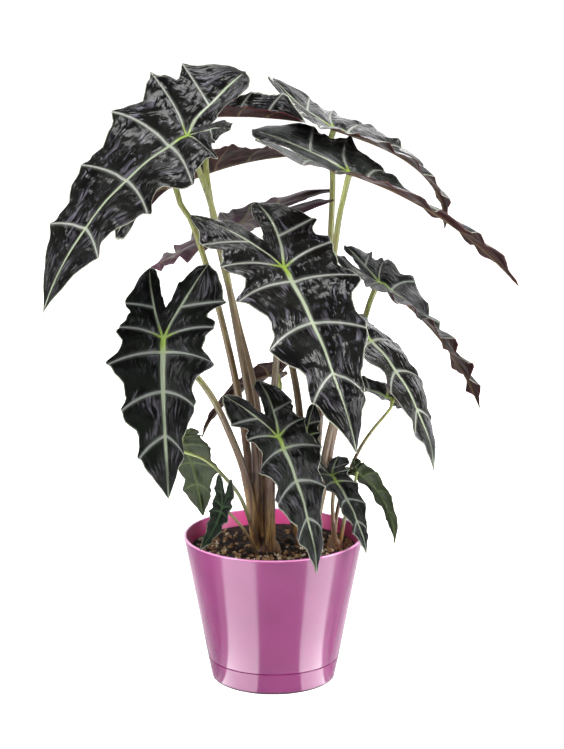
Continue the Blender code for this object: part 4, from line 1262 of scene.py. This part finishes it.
def make_room():
    """A pale floor and backdrop, two upright softboxes, soft lights above, and panels for the gloss."""
    white = lit_finish("lit_white_acrylic", WALL_GLOW, 0.9)
    square = [(x * SET_REACH, y * SET_REACH, 0) for x, y in ((-1, -1), (1, -1), (1, 1), (-1, 1))]
    set_sheet("pale_floor", square, [(0, 1, 2, 3)], white, seen=True, lights=True)
    ring = []
    for turn in [2 * pi * step / BACKDROP_SIDES for step in range(BACKDROP_SIDES)]:
        ring += [(SET_REACH * cos(turn), SET_REACH * sin(turn), height) for height in (0, SET_REACH)]
    count = len(ring)
    walls = [(i, (i + 2) % count, (i + 3) % count, i + 1) for i in range(0, count, 2)]
    set_sheet("white_backdrop", ring, walls, white, seen=True, mirrored=False)
    for name, (near, far, inside, outside, glow) in PANELS.items():
        corners = []
        for share in np.linspace(0, 1, PANEL_STEPS):
            for radius, (start, end) in ((inside, near), (outside, far)):
                turn = radians(-90 - start - (end - start) * share)
                corners.append((radius * cos(turn), radius * sin(turn), PANEL_HEIGHT))
        faces = [(i, i + 1, i + 3, i + 2) for i in range(0, len(corners) - 2, 2)]
        set_sheet(name, corners, faces, lit_finish(name + "_glow", glow))
    # A lit wall behind silvers the leaves that are seen edge on
    wall = [(-2, 1.6, 0.3), (2, 1.6, 0.3), (2, 1.2, 3.6), (-2, 1.2, 3.6)]
    set_sheet("back_panel", wall, [(0, 1, 2, 3)], lit_finish("back_panel_glow", BACK_GLOW))
    for name, (place, target, width, height, power, colour) in SOFTBOXES.items():
        light = bpy.data.lights.new(name, "AREA")
        light.shape = "RECTANGLE"
        light.size = width
        light.size_y = height
        light.energy = power
        light.color = linear(colour)[:3]
        item = new_item(name, light)
        item.location = place
        item.rotation_euler = (Vector(target) - Vector(place)).to_track_quat("-Z", "Y").to_euler()
        item.visible_camera = False
    world = bpy.data.worlds.new("dim_white_surround")
    world.use_nodes = True
    surround = world.node_tree.nodes["Background"]
    surround.inputs["Color"].default_value = (1, 1, 1, 1)
    surround.inputs["Strength"].default_value = SURROUND_GLOW
    bpy.context.scene.world = world
    bpy.context.scene.view_settings.view_transform = "Standard"


def make_camera():
    """The photograph's view: level with the top of the plant, looking a little down, from 2.1 m."""
    camera = bpy.data.cameras.new("photograph")
    camera.lens = CAMERA_LENS
    item = new_item("photograph", camera)
    item.location = CAMERA_PLACE
    item.rotation_euler = (radians(90 - CAMERA_TILT), 0, 0)
    bpy.context.scene.camera = item


make_camera()
make_room()
make_pot()
make_soil(make_soil_material())
stem_tree = make_stem_tree()
make_stems(stem_tree)
make_shoots(stem_tree)
make_leaves()
